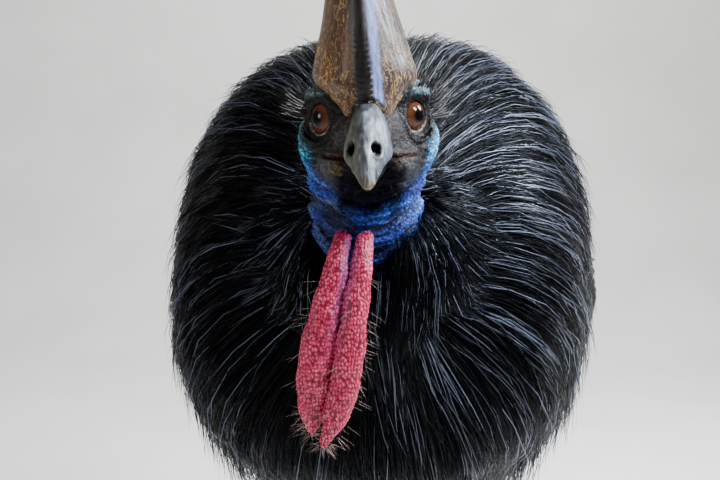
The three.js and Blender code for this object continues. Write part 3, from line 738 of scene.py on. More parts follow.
def skin_material():
    """Bare skin: its colours ride on the mesh, and grains, creases and pale specks lie over them. The grains
    are painted lighter on top and darker between as painted highlight and shade, the creases darker where
    they are low as painted shade, and the specks are partly the skin's own and partly painted glints.
    """
    r = Recipe("bare_skin")
    base = r.attribute("tint")
    grains = r.cells(2.7)
    fine = r.noise(0.9, detail=4)
    blots = r.noise(7, detail=4, rough=0.65)
    creases = r.noise(4.5, detail=5, rough=0.7, distortion=1.2, stretch=(2.2, 2.2, 0.8))
    creases = r.ramp(creases, (0.35, 0), (0.62, 1))
    # Painted highlight and shade: each grain is lighter at its raised middle and darker at its edges.
    colour = r.shaded(1.0, base, grains, (0.08, 1.9), (0.36, 0.9), (0.66, 0.22))
    colour = r.shaded(0.5, colour, fine, (0.3, 0.4), (0.7, 1.6))
    # Painted shade: darker where the creases are low.
    colour = r.shaded(0.45, colour, creases, (0.0, 0.4), (0.6, 1.2))
    # Pale specks, partly speckled skin and partly painted glints.
    specks = r.ramp(r.noise(1.3, detail=2), (0.56, 0.0), (0.64, 1.0))
    specks = r.times(specks, r.ramp(blots, (0.35, 0.1), (0.6, 0.65)))
    colour = r.mix(specks, colour, r.mix(1.0, base, (1.9, 2.1, 2.4), "MULTIPLY"))
    normal = r.bump(creases, 0.6, 0.8)
    normal = r.bump(r.times(grains, -1.0), 0.9, 1.0, normal)
    normal = r.bump(fine, 0.2, 0.8, normal)
    gloss = r.times(r.attribute("gloss", "Fac"), 0.2)
    return r.finish(colour, r.ramp(fine, (0.3, 0.32), (0.7, 0.55)), normal, specular=gloss)


def leg_material():
    """Horny scales with dark lines between them, and broad stains and fine grain over them."""
    r = Recipe("scaly_leg")
    base = r.attribute("tint")
    edge = r.cells(4.2, "DISTANCE_TO_EDGE")
    lines = r.ramp(edge, (0.0, 0.25), (0.09, 1.0))
    stains = r.noise(14, detail=5)
    fine = r.noise(0.8, detail=3)
    colour = r.mix(1.0, base, lines, "MULTIPLY")
    colour = r.shaded(0.8, colour, stains, (0.3, 0.6), (0.7, 1.3))
    colour = r.shaded(0.5, colour, fine, (0.3, 0.7), (0.7, 1.2))
    normal = r.bump(r.ramp(edge, (0.0, 0.0), (0.16, 1.0)), 0.7, 0.9)
    normal = r.bump(fine, 0.12, 0.6, normal)
    return r.finish(colour, r.ramp(stains, (0.3, 0.5), (0.7, 0.68)), normal, specular=0.22)


def casque_material():
    """Worn horn: brown grey with long striations, ochre patches and pale scratches."""
    r = Recipe("casque_horn")
    base = r.attribute("tint")
    streaks = r.noise(2.2, detail=5, rough=0.6, stretch=(1, 1, 14))
    broad = r.noise(16, detail=4, rough=0.6, distortion=0.6, stretch=(1, 1, 2.5))
    scratch = r.noise(8, detail=4, rough=0.6, distortion=1.4, stretch=(1, 1, 1.4))
    worn = r.attribute("worn", "Fac")
    marks = r.ramp(scratch, (0.47, 0.0), (0.485, 1.0), (0.5, 1.0), (0.515, 0.0))
    marks = r.times(marks, worn)
    ochre = r.times(r.ramp(broad, (0.52, 0.0), (0.66, 1.0)), worn)
    colour = r.shaded(0.85, base, streaks, (0.3, 0.4), (0.7, 1.4))
    colour = r.mix(r.times(ochre, 0.55), colour, tone(140, 94, 44))
    colour = r.mix(r.times(marks, 0.8), colour, tone(212, 178, 118))
    normal = r.bump(streaks, 0.35, 0.8)
    normal = r.bump(marks, 0.3, 0.8, normal)
    normal = r.bump(broad, 0.9, 0.5, normal)
    rough = r.ramp(streaks, (0.3, 0.3), (0.7, 0.46))
    rough = r.add("ShaderNodeMath", {0: rough, 1: r.times(ochre, 0.2)}, operation="ADD").outputs[0]
    return r.finish(colour, rough, normal, specular=0.16, coat=0.05, coat_roughness=0.1)


def bill_material():
    """Pale horn with striations along it and a brown worn tip."""
    r = Recipe("bill_horn")
    base = r.attribute("tint")
    streaks = r.noise(1.5, detail=5, rough=0.65, stretch=(1, 8, 5))
    blots = r.noise(6, detail=4, rough=0.6)
    fine = r.noise(0.6, detail=3)
    colour = r.shaded(0.9, base, streaks, (0.3, 0.35), (0.68, 1.5))
    colour = r.shaded(0.8, colour, blots, (0.35, 0.45), (0.65, 1.35))
    normal = r.bump(streaks, 0.4, 0.9)
    normal = r.bump(blots, 0.4, 0.5, normal)
    normal = r.bump(fine, 0.08, 0.6, normal)
    gloss = r.times(r.attribute("gloss", "Fac"), 0.45)
    return r.finish(colour, r.ramp(blots, (0.3, 0.3), (0.7, 0.5)), normal, specular=gloss)


def wattle_material():
    """Wet looking red grains with dark lines between."""
    r = Recipe("wattle_flesh")
    base = r.attribute("tint")
    fine = r.noise(0.7, detail=3)
    blots = r.noise(9, detail=3)
    colour = r.shaded(0.5, base, blots, (0.35, 0.7), (0.65, 1.2))
    colour = r.shaded(0.3, colour, fine, (0.3, 0.7), (0.7, 1.25))
    normal = r.bump(fine, 0.12, 0.7)
    return r.finish(colour, r.ramp(fine, (0.3, 0.36), (0.7, 0.5)), normal, specular=0.3)


def eye_material():
    """The angle from the gaze gives pupil, iris and rim. A clear coat stands for the cornea."""
    r = Recipe("eye_ball")
    share = r.attribute("from_gaze", "Fac")
    spokes = r.attribute("spokes", "Fac")
    streaks = r.noise(0.5, detail=4)
    iris = r.ramp(
        share,
        (0.0, tone(3, 2, 3)), (0.36, tone(3, 2, 3)), (0.42, tone(40, 20, 12)), (0.58, tone(82, 45, 25)),
        (0.78, tone(102, 62, 36)), (0.92, tone(52, 30, 20)), (1.0, tone(14, 10, 9)),
    )
    colour = r.shaded(0.55, iris, spokes, (0.25, 0.55), (0.75, 1.35))
    colour = r.shaded(0.3, colour, streaks, (0.3, 0.7), (0.7, 1.3))
    normal = r.bump(streaks, 0.02, 0.3)
    rough = r.ramp(streaks, (0.3, 0.16), (0.7, 0.24))
    return r.finish(colour, rough, normal, specular=0.05, coat=0.32, coat_roughness=0.02)


def feather_material():
    """Glossy black barbs. Each has its own shade, and the brightest are painted with a blue white sheen as
    painted highlight.
    """
    r = Recipe("feather_black")
    shade = r.attribute("shade", "Fac")
    share = r.attribute("share", "Fac")
    ripple = r.noise(3, detail=3)
    # The lightest shades are painted sheen: blue white barbs that stand for light caught on them.
    colour = r.ramp(
        shade,
        (0.0, tone(3, 3, 4)), (0.78, tone(13, 12, 15)), (0.84, tone(30, 32, 38)), (1.0, tone(82, 89, 110)),
    )
    # Painted shade: each strand is darker at its root, under the others, and lighter towards its tip.
    colour = r.shaded(0.7, colour, share, (0.0, 0.35), (0.4, 1.0), (1.0, 1.3))
    colour = r.shaded(0.4, colour, ripple, (0.3, 0.6), (0.7, 1.3))
    rough = r.ramp(ripple, (0.3, 0.26), (0.7, 0.42))
    shine = r.ramp(shade, (0.1, 0.02), (0.7, 0.08), (0.8, 0.4), (0.95, 0.75))
    return r.finish(colour, rough, r.bump(ripple, 0.1, 0.4), specular=shine, specular_tint=(0.72, 0.84, 1, 1))


def bristle_material(name, dark, light):
    """Plain bristles, each of its own shade."""
    r = Recipe(name)
    colour = r.ramp(r.attribute("shade", "Fac"), (0.0, dark), (1.0, light))
    ripple = r.noise(2, detail=3)
    colour = r.shaded(0.5, colour, ripple, (0.3, 0.6), (0.7, 1.3))
    rough = r.ramp(ripple, (0.3, 0.35), (0.7, 0.5))
    return r.finish(colour, rough, r.bump(ripple, 0.05, 0.4), specular=0.4)


def quill_material():
    """Bare black quills with fine lines along them."""
    r = Recipe("quill_horn")
    streaks = r.noise(1.2, detail=4, stretch=(1, 6, 3))
    colour = r.ramp(streaks, (0.3, tone(9, 8, 9)), (0.7, tone(30, 27, 26)))
    rough = r.ramp(streaks, (0.3, 0.35), (0.7, 0.55))
    return r.finish(colour, rough, r.bump(streaks, 0.12, 0.6), specular=0.3)


def claw_material():
    """Dark horn with lines along it."""
    r = Recipe("claw_horn")
    base = r.attribute("tint")
    streaks = r.noise(1.6, detail=4, stretch=(4, 4, 1))
    blots = r.noise(11, detail=4)
    colour = r.shaded(0.7, base, streaks, (0.3, 0.6), (0.7, 1.4))
    colour = r.shaded(0.5, colour, blots, (0.3, 0.7), (0.7, 1.3))
    normal = r.bump(streaks, 0.2, 0.7)
    return r.finish(colour, r.ramp(blots, (0.3, 0.3), (0.7, 0.5)), normal, specular=0.5)


def floor_material():
    """The studio's pale, almost even floor."""
    r = Recipe("studio_floor")
    soft = r.noise(400, detail=2)
    colour = r.ramp(soft, (0.3, tone(222, 220, 216)), (0.7, tone(232, 230, 226)))
    return r.finish(colour, r.ramp(soft, (0.3, 0.8), (0.7, 0.9)), r.bump(r.noise(6, detail=3), 0.1, 0.3))


# Skin

neck = Tube(NECK_PATH, NECK_HALF, (0, 1, 0))
HEAD_ALL = HEAD_MASSES + HEAD_PAIRS + [((-c[0], c[1], c[2]), r, n) for c, r, n in HEAD_PAIRS]


def above_border(p):
    """How far a point lies above the plane where the bare neck ends."""
    return (p - BORDER_AT) @ BORDER_UP


def gaze_of(side):
    return np.array([side * math.sin(GAZE_OUT), -math.cos(GAZE_OUT), 0])


def eye_at(side):
    return np.array([side * EYE_AT[0], EYE_AT[1], EYE_AT[2]], float)


def from_eye(q, side):
    """Distance from the eye's centre and the angle off its gaze."""
    away = q - eye_at(side)
    distance = np.linalg.norm(away, axis=-1)
    cosine = (away @ gaze_of(side)) / np.maximum(distance, TINY)
    return distance, np.arccos(np.clip(cosine, -1, 1))


def opened(value, q, side):
    """A form with a lid over the eyeball, the lid's round opening with a thick rim, and the eye's socket."""
    distance, angle = from_eye(q, side)
    rim_radius = EYE_RADIUS + LID_RIM_OUT
    rim = np.hypot(distance * np.sin(angle) - rim_radius * math.sin(LID_OPENING),
                   distance * np.cos(angle) - rim_radius * math.cos(LID_OPENING)) - LID_RIM_THICK
    value = blended(value, distance - (EYE_RADIUS + LID_THICK), LID_BLEND)
    cone = (angle - LID_OPENING) * distance
    hole = np.maximum(cone, distance - (EYE_RADIUS + 2 * LID_THICK + HOLE_MARGIN))
    value = blended(np.maximum(value, -hole), rim, LID_RIM_BLEND)
    return np.maximum(value, EYE_RADIUS + SOCKET_GAP - distance)


def neck_outside(p):
    """Head and neck down to a plane that the feathers hide."""
    q = to_head(p)
    whole = blended(outside_masses(q, HEAD_ALL, HEAD_BLEND), neck.outside(p), HEAD_BLEND)
    for side in SIDES.values():
        whole = opened(whole, q, side)
    return np.maximum(whole, -above_border(p) - SKIN_UNDER_COAT)


MOUTHS = {
    side: Tube([(side * x, y, z) for x, y, z in MOUTH_PATH], [(3, 1), (3, 1)], (0, 0, 1))
    for side in SIDES.values()
}


def mouth_share(q, side):
    """Distance from the line of the mouth, and the share along it."""
    line = MOUTHS[side].line
    index = MOUTHS[side].nearest_point(q)
    return np.linalg.norm(q - line[index], axis=-1), index / (LINE_POINTS - 1)


def bell(away, width):
    """A rise of 1 that fades out at a width to each side."""
    return np.exp(-((away / width) ** 2))


def face_folds(p):
    """How far the skin of head and neck rises in folds, wrinkles and grains."""
    q = to_head(p)
    rise = np.zeros(len(p))
    for side in SIDES.values():
        distance, angle = from_eye(q, side)
        around = ramp(distance, 19.5, 22) * ramp(angle, 1.9, 1.3)
        below = np.sin((distance - 20) * TURN / 4.4 + 1.6 * clouds(q, 11, 5))
        rise += 1.9 * below * around * ramp(distance, 48, 36) * ramp(-q[:, 2], -2, 8)
        above = np.sin((distance - 20) * TURN / 2.8)
        rise += 0.5 * above * around * ramp(distance, 38, 28) * ramp(q[:, 2], 4, 12)
        gap, share = mouth_share(q, side)
        rise += 1.4 * bell(gap - 3.2, 1.8) * ramp(share, 0, 0.2) - 2.8 * bell(gap, 1.3)
        ear = np.linalg.norm(q - (side * EAR_AT[0], EAR_AT[1], EAR_AT[2]), axis=-1)
        rise += bell(ear - 6.5, 2.2) - 4.5 * bell(ear, 3.6)
    return rise + neck_folds(p, q) + 0.6 * clouds(p, 9, 4) + 0.35 * clouds(p, 4.2, 8)


def neck_folds(p, q):
    """Rings of wrinkles that sag towards the roots of the wattles."""
    run = above_border(p) - 0.42 * np.abs(p[:, 0] + 10) * ramp(p[:, 1], -500, -530)
    warp = 8 * clouds(p, 34, 2) + 3.5 * clouds(p, 13, 3)
    broad = np.sin((run + warp) * TURN / 23)
    fine = np.sin((run + 1.3 * warp) * TURN / 6.4)
    finest = np.sin((run + 1.5 * warp + 1.5 * clouds(p, 5, 6)) * TURN / 3.4)
    return ramp(q[:, 2], -34, -56) * (1.9 * broad + 1.25 * fine + 0.6 * finest)


def neck_colours(p):
    """Ultramarine with patches of deep blue, painted highlights of bright blue on the bird's left side and of
    grey blue on its right, and a red patch low on the nape.
    """
    nape = ramp(p[:, 1] + 9 * clouds(p, 12, 28), -506, -484)
    return layered(
        tone(26, 48, 138),
        # Painted highlight: brighter blue towards the bird's left side.
        ((54, 112, 222), 0.85 * ramp(clouds(p, 14, 22), -0.4, 0.6) * ramp(p[:, 0], -16, 30)),
        # Painted highlight: grey blue towards the bird's right side.
        ((92, 112, 164), 0.75 * ramp(p[:, 0], -8, -34) * ramp(clouds(p, 12, 25), -0.6, 0.4)),
        ((11, 16, 70), 0.8 * ramp(clouds(p, 20, 23), 0.0, 0.6)),
        ((176, 54, 28), nape * ramp(above_border(p) + 12 * clouds(p, 15, 29), 48, 18)),
    )


def skin_colours(p, rise):
    """The colours of head and neck at each point. Hollows between folds are painted darker as painted shade,
    and crests lighter as painted highlight.
    """
    q = to_head(p)
    x, y, z = q.T
    side = np.abs(x)
    rough = clouds(q, 8, 21) * 5
    cheeks = ramp(y + rough, -10, 6) * ramp(z + rough, -62, -40) * ramp(side + 0.4 * rough, 34, 44)
    face = ramp(y + rough, 22, 4) * ramp(z + rough, -64, -44)
    face = face * (1 - ramp(side + 0.6 * rough, 40, 48) * ramp(y, -14, 2))
    upper = face * ramp(z + rough, -42, -30)
    tint = layered(
        neck_colours(p),
        ((30, 92, 190), cheeks),
        ((40, 160, 204), cheeks * ramp(z + rough, -42, -24)),
        # Painted light: the upper cheek on the bird's right is paler and greyer.
        ((92, 148, 160), 0.75 * cheeks * ramp(x, 0, -30) * ramp(z, -34, -20)),
        ((60, 140, 160), 0.8 * ramp(z + rough, 6, 20) * ramp(y, 0, 20)),
        ((34, 36, 54), face),
        ((54, 47, 46), upper),
        ((76, 66, 56), 0.7 * upper * ramp(z, -16, 2) * ramp(side, 26, 12)),
        ((15, 13, 14), 0.85 * upper * ramp(clouds(q, 5, 24), -0.2, 0.3)),
    )
    for sign in SIDES.values():
        tint = mouth_colours(eye_colours(tint, q, sign), q, sign)
    spot = np.linalg.norm((q - (-25.5, -48, -37)) / (7, 14, 6), axis=-1)
    tint = layered(
        tint,
        # Painted shade: the hollow under the bill is painted almost black.
        ((4, 4, 12), 0.98 * under_bill_shade(q)),
        ((112, 94, 52), 0.75 * ramp(spot + 0.08 * rough, 1, 0.3)),
    )
    # Painted shade in the hollows between folds and painted highlight on their crests.
    return np.maximum(tint, 0) * (0.2 + 1.2 * ramp(rise, -2.4, 2.4))[:, None]


def under_bill_shade(q):
    """How far a point lies in the hollow under the bill, which is painted almost black as painted shade."""
    x, y, z = q.T
    rough = clouds(q, 8, 21) * 5
    hollow = ramp(z + 0.4 * rough, -34, -40) * ramp(z + rough, -86, -68)
    return hollow * ramp(np.abs(x) + 0.5 * rough, 33, 22) * ramp(y, 40, 24)


def eye_colours(tint, q, side):
    """Dark lids with a thin pale edge below, and a pale brow."""
    z = q[:, 2]
    distance, angle = from_eye(q, side)
    brow = ramp(z, 15, 19) * ramp(distance, 19, 22) * ramp(np.abs(q[:, 0]), 24, 32)
    edge = ramp(angle, LID_OPENING, LID_OPENING - 0.03) * ramp(distance, 18.4, 17.6)
    return layered(
        tint,
        ((22, 19, 21), ramp(distance, 34, 24) * ramp(angle, 1.5, 1.1)),
        # The brow's colour on each side holds painted light.
        (BROWS[side], 0.85 * brow * ramp(clouds(q, 6, 26), -0.9, -0.1)),
        ((190, 178, 160), 0.9 * edge * ramp(-z, 0, 8)),
    )


def mouth_colours(tint, q, side):
    """A brown orange edge along the gape, and a black line where the mouth shuts, painted as the shade in its
    slit.
    """
    gap, share = mouth_share(q, side)
    lips = ramp(gap, 4.4, 2) * ramp(share, 0.55, 0.25) * ramp(clouds(q, 5, 27), -0.6, 0.2)
    # The black line is painted shade in the slit of the mouth.
    return layered(tint, ((104, 60, 38), 0.8 * lips), ((4, 3, 4), ramp(gap, 2.1, 1.1)))


def head_skin():
    points, faces = netted(neck_outside, HEAD_AT - HEAD_BOX[0], HEAD_AT + HEAD_BOX[1], SKIN_STEP)
    out = outward(neck_outside, points, 1.2)
    q = to_head(points)
    calm = np.ones(len(points))
    for side in SIDES.values():
        distance, angle = from_eye(q, side)
        calm *= np.clip(ramp(distance, 18.5, 20.5) + ramp(np.abs(angle - LID_OPENING), 0.25, 0.45), 0, 1)
        calm *= ramp(distance, EYE_RADIUS + 0.3, EYE_RADIUS + 0.9)
    rise = face_folds(points) * calm
    return points + out * rise[:, None], faces, skin_colours(points, rise)


def body_skin():
    """The dark body under the coat, a little deeper than the strands' roots."""
    core = lambda p: outside_coat(p) + COAT_DEPTH + CORE_MARGIN
    points, faces = netted(core, *BODY_BOX, BODY_STEP)
    return points, faces, np.tile(tone(14, 12, 13), (len(points), 1))


def leg_point(point, side, share=1):
    """A point of the leg on one side, moved by its share of the step forwards or back."""
    x, y, z = point
    return (side * x, y - side * STEP * share, z)


def half_way(a, b):
    return tuple((u + v) / 2 for u, v in zip(a, b))


def thigh_tube(side):
    knee = leg_point(KNEE, side, 0.3)
    lower = leg_point(half_way(KNEE, ANKLE), side, 0.6)
    path = [leg_point(HIP, side, 0), knee, lower, leg_point(ANKLE, side)]
    return Tube(path, THIGH_HALF, (0, 1, 0), (0.12, 0.06))


def shank_tube(side):
    middle = half_way(ANKLE, FOOT)
    path = [
        leg_point((ANKLE[0], ANKLE[1] + 2, ANKLE[2] + 14), side),
        leg_point((middle[0], middle[1] - 4, middle[2]), side),
        leg_point((FOOT[0], FOOT[1], FOOT[2] + 12), side),
        leg_point((FOOT[0], FOOT[1] - 10, FOOT[2] - 30), side),
    ]
    return Tube(path, SHANK_HALF, (0, -1, 0), (0.08, 0.04))


def toe_line(name, side, runs, lifts, start=0.0):
    """Points along a toe's heading, each at a run from its start and at a height."""
    turn = math.radians(TOES[name][0])
    heading = np.array([side * math.sin(turn), -math.cos(turn), 0])
    root = np.array(leg_point((FOOT[0], FOOT[1] - 4, 0), side)) + heading * start
    return [tuple(root + heading * run + (0, 0, lift)) for run, lift in zip(runs, lifts)]


def toe_tube(name, side):
    _, length, thick, _, _ = TOES[name]
    low = thick - 3
    path = toe_line(name, side, [0, 0.3 * length, 0.6 * length, length], [low + 8, low + 3, low, low - 2])
    half = [(thick + 2, thick), (thick, thick - 1), (thick + 1, thick - 1), (thick - 3, thick - 4)]
    return Tube(path, half, UP, (0.06, 0.07))


def claw_tube(name, side):
    _, length, thick, claw, rise = TOES[name]
    t = thick - 5
    run = claw + 12
    path = toe_line(name, side, [0, 0.4 * run, 0.75 * run, run], [t + 3, t + rise, t, 3], length - 12)
    half = [(t, t), (t - 1, t - 0.5), (t * 0.55, t * 0.6), (1, 1.2)]
    return Tube(path, half, UP, (0.06, 0.05))


def scutes(tube, p, count, size):
    """Overlapping plates on the front of a tube: each rises towards its lower edge."""
    t, angle, _ = tube.nearest(p)
    front = ramp(np.sin(angle), 0.25, 0.6)
    phase = (t * count) % 1
    edge = ramp(phase, 0, 0.82) * ramp(phase, 1.0, 0.9)
    return front * size * (edge - 0.3) * ramp(t, 0.02, 0.06)


def leg_skin(side):
    thigh = thigh_tube(side)
    shank = shank_tube(side)
    toes = [toe_tube(name, side) for name in TOES]

    def outside(p):
        value = np.maximum(thigh.outside(p) + THIGH_DEPTH, p[:, 2] - 560)
        value = blended(value, shank.outside(p), 14)
        for toe in toes:
            value = blended(value, toe.outside(p), 5)
        return np.maximum(value, -p[:, 2])

    foot = leg_point(FOOT, side)
    side_reach, front_reach, back_reach = LEG_REACH
    low = (foot[0] - side_reach, foot[1] - front_reach, LEG_HEIGHTS[0])
    high = (foot[0] + side_reach, foot[1] + back_reach, LEG_HEIGHTS[1])
    points, faces = netted(outside, low, high, LEG_STEP, 1)
    points[:, 2] = np.maximum(points[:, 2], 0)
    out = outward(outside, points)
    rise = scutes(shank, points, SHANK_SCUTES, 1.3) * ramp(shank.outside(points), 3, 0.5)
    for toe in toes:
        rise += scutes(toe, points, TOE_SCUTES, 1.1) * ramp(toe.outside(points), 2, 0.2)
    points = points + out * (rise * ramp(points[:, 2], 1, 4))[:, None]
    worn = layered(tone(64, 60, 51), ((40, 40, 39), 0.4 * ramp(clouds(points, 30, 31), -0.2, 0.6)))
    # Painted shade and highlight: each scute is darker where it sinks and lighter where it rises.
    scute_shading = np.where(rise == 0, 0.9, 0.5 + 0.75 * ramp(rise, -0.5, 0.8))
    tint = layered(worn * scute_shading[:, None], ((20, 18, 18), ramp(points[:, 2], 395, 430)))
    return points, faces, tint


# Horn


def casque_lean(q):
    """How far a point lies to the side of the casque's leaning middle."""
    return q[:, 0] - CASQUE_LEAN * (q[:, 2] - 10)


def casque_place(t, angle):
    z, wide, front, back = along(CASQUE_ROWS, t).T
    size = round_ends(t, *CASQUE_ENDS)
    power = 2 / CASQUE_EDGE
    x = CASQUE_LEAN * (z - 10) + size * wide * rounded(np.cos(angle), power)
    y = (front + back) / 2 + size * ((back - front) / 2) * rounded(np.sin(angle), power)
    return np.stack([x, y, z], -1)


def casque_piece(material):
    """The casque, with a smooth wrinkled strip down its front and flaking horn at its sides. Painted light
    lies on it: a grey violet facet on the bird's left, a pale blue reflection beside the ridge, and near
    black shade at its foot over the bill.
    """

    def place(t, angle):
        q = casque_place(t, angle)
        _, y, z = q.T
        out = np.stack([np.cos(angle), np.sin(angle), 0 * t], -1)
        long = q * (1, 1, 0.12)
        ridges = 0.35 * clouds(long, 3.2, 41) + 0.8 * clouds(long, 11, 42)
        flakes = 0.5 * ramp(clouds(q * (1, 1, 0.5), 7, 43), 0.05, 0.12) * ramp(z, 70, 20)
        lean = casque_lean(q)
        strip = ramp(np.abs(lean + 2), 8, 4) * ramp(y, 0, -12)
        wrinkles = 0.55 * np.sin(z * TURN / 4.2 - 0.5 * np.abs(lean)) * ramp(z, 70, 30)
        rise = (ridges * (1 - strip) + flakes + wrinkles * strip) * round_ends(t, *CASQUE_ENDS)
        return q + out * rise[:, None]

    points, faces = lofted(place, *CASQUE_GRID)
    x, y, z = points.T
    lean = casque_lean(points)
    strip = ramp(np.abs(lean + 2), 9, 5) * ramp(y, -2, -14)
    arch = (np.abs(x) / 16.5) ** 2.4 + (np.maximum(z + 23, 0) / 35) ** 2.35
    tint = layered(
        tone(80, 56, 42),
        # Painted light: the facet on the bird's left is grey violet, for the cool light on that side.
        ((50, 41, 44), ramp(lean, -4, 10)),
        ((30, 27, 26), strip),
        # Painted reflection: a pale blue band beside the ridge.
        ((112, 138, 204), 0.85 * ramp(np.abs(lean - 8), 4.5, 1.5) * ramp(y, -2, -14)),
        # Painted shade: near black where the casque's foot meets the top of the bill.
        ((7, 6, 7), ramp(arch, 1.26, 1.12) * ramp(y, -20, -40)),
        ((74, 58, 48), 0.5 * ramp(z, 110, 165)),
    )
    sides = ramp(z, 70, 25) * ramp(np.abs(lean), 12, 26)
    worn = (0.35 + 0.65 * np.maximum(sides, ramp(clouds(points, 26, 44), 0.1, 0.5))) * (1 - strip)
    made = piece("casque_horn", from_head(points), faces, material, tint, {"worn": worn})
    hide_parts("casque")


def bill_place(rows, section):
    narrowing, power = section

    def place(t, angle):
        y, wide, top, edge, under = along(rows, t).T
        size = round_ends(t, *BILL_ENDS)
        high = np.sin(angle)
        pinch = 1 - (narrowing + BILL_RIDGE * ramp(y, -52, -76)) * np.maximum(0, high)
        tall = np.where(high > 0, top - edge, edge - under)
        x = size * wide * pinch * rounded(np.cos(angle), power) - BILL_LEAN * ramp(y, -48, -80)
        return np.stack([x, y, edge + size * tall * rounded(high, 0.85)], -1)

    return place


def nostril_share(q, side):
    """How far a point lies from a nostril's middle, 1 at its edge."""
    centre, radii = NOSTRILS[side]
    return np.linalg.norm((q - centre) / radii, axis=-1)


def bill_piece(name, node, rows, section, material):
    """Half of the bill, with fine lines along it. The upper half has the nostrils and the colours, among them
    painted light: a yellowish side as shade, a bluish side and a pale ridge as painted highlight, and
    nostrils painted black as shade.
    """
    shape = bill_place(rows, section)
    upper = node == "bill_upper"

    def place(t, angle):
        q = shape(t, angle)
        inward = np.stack([-np.sign(q[:, 0]) * 0.8, 0 * t, -0.5 + 0 * t], -1)
        rise = 0.28 * clouds(q * (1, 0.15, 0.3), 1.6, 51) + 0.35 * clouds(q, 6, 52)
        out = unit(np.stack([np.cos(angle), 0 * t, np.sin(angle)], -1))
        q = q + out * (rise * round_ends(t, *BILL_ENDS))[:, None]
        for side in SIDES.values() if upper else ():
            share = nostril_share(q, side)
            q = q + inward * (NOSTRIL_DEPTH * ramp(share, 1.0, 0.6))[:, None]
            q = q + out * (0.5 * ramp(share, 1.5, 1.15) * ramp(share, 0.9, 1.1))[:, None]
        return q

    points, faces = lofted(place, *BILL_GRID)
    gloss = np.full(len(points), 1.0 if upper else 0.2)
    if upper:
        x, y, z = points.T
        lean = x + BILL_LEAN
        tint = layered(
            tone(76, 82, 87),
            # Painted light: the bird's right side of the bill is yellowish grey as in shade, and its left
            # side bluish as under cool light.
            ((84, 82, 62), 0.75 * ramp(lean, -3, -9)),
            ((68, 78, 100), 0.7 * ramp(lean, 5, 11)),
            # Painted highlight: a pale band along the ridge.
            ((128, 138, 147), 0.75 * ramp(np.abs(lean - 1.5), 4.5, 1.5) * ramp(y, -50, -62)),
            ((50, 47, 42), 0.75 * ramp(y, -62, -46) * ramp(clouds(points, 3.5, 53), -0.3, 0.3)),
            ((98, 76, 42), 0.8 * ramp(z, -38, -46) * ramp(y, -90, -100)),
            ((62, 58, 52), 0.6 * ramp(np.abs(x), 9, 14) * ramp(z, -22, -30)),
        )
        mottled = clouds(points * (1, 0.22, 0.45), 1.6, 54) + 0.6 * clouds(points, 5, 55)
        tint = tint * (0.35 + 0.95 * ramp(mottled, -0.8, 0.7))[:, None]
        for side in SIDES.values():
            # Painted shade: the hollows of the nostrils are painted near black, with no gloss.
            hole = ramp(nostril_share(points, side), 1.08, 0.92)
            tint = layered(tint, ((2, 2, 2), hole))
            gloss = gloss * (1 - hole)
    else:
        tint = np.tile(tone(14, 13, 14), (len(points), 1))
    made = piece(name, from_head(points), faces, material, tint, {"gloss": gloss})
    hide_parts(node)


def eye_piece(label, side, material):
    """An eyeball whose cornea bulges, with the iris's spokes round its gaze."""
    gaze = gaze_of(side)
    across = np.cross(gaze, UP)

    def place(t, angle):
        polar = t * math.pi
        bulge = EYE_RADIUS - 0.25 + ramp(polar, 0.95, 0.2)
        ring = across * np.cos(angle)[:, None] + UP * np.sin(angle)[:, None]
        away = gaze * np.cos(polar)[:, None] + ring * np.sin(polar)[:, None]
        return eye_at(side) + away * bulge[:, None]

    points, faces = lofted(place, *EYE_GRID)
    _, angle = from_eye(points, side)
    away = points - eye_at(side)
    turn = np.arctan2(away @ UP, away @ across)
    spokes = 0.5 + 0.5 * clouds(np.stack([np.cos(turn) * 14, np.sin(turn) * 14, angle * 1.2], -1), 1.0, 61)
    numbers = {"from_gaze": np.clip(angle / LID_OPENING, 0, 1), "spokes": spokes}
    made = piece(f"eye_ball_{label}", from_head(points), faces, material, numbers=numbers)
    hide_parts(f"eye_{label}")


# Wattles


def wattle_piece(label, material):
    """A hanging wattle, covered with small domes with painted highlights of pale pink on their tops, and blue
    where it leaves the neck.
    """
    path, half = WATTLES[label]
    tube = Tube(path, half, (0, 1, 0), (0.1, 0.14))

    def place(t, angle):
        run = t * tube.length
        bulbs = WATTLE_BULB * np.sin(run * TURN / 38) * np.cos(2 * angle + run / 30)
        return tube.place(t, angle, bulbs)

    points, faces = lofted(place, *WATTLE_GRID)
    t, angle, _ = tube.nearest(points)
    last = LINE_POINTS - 1
    out = unit(points - tube.line[np.clip((t * last).round().astype(int), 0, last)])
    near, second = pebbles(points * (1, 1, 0.66), 2.4, 71)
    dome = np.sqrt(np.clip(1 - (near / 0.72) ** 2, 0, 1)) * ramp(second - near, 0.0, 0.25)
    points = points + out * (0.95 * dome - 0.4 + 0.4 * clouds(points, 7, 74))[:, None]
    facing, violet = {"right": (1, 0.55), "left": (-1, 0.3)}[label]
    tint = layered(
        tone(100, 12, 34),
        ((200, 46, 88), ramp(dome, 0.2, 0.75)),
        # Painted highlight: pale pink on the tops of the domes.
        ((226, 128, 160), 0.75 * ramp(near, 0.36, 0.1) * ramp(clouds(points, 5, 72), -0.6, 0.3)),
        ((96, 62, 128), ramp(facing * np.cos(angle), 0.1, 0.8) * ramp(t, 0.75, 0.2) * violet),
        ((34, 58, 150), ramp(t + 0.01 * clouds(points, 5, 73), 0.075, 0.03)),
    )
    made = piece(f"wattle_{label}_flesh", points, faces, material, tint)
    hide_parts(f"wattle_{label}")
    return tube


# Feathers and hairs


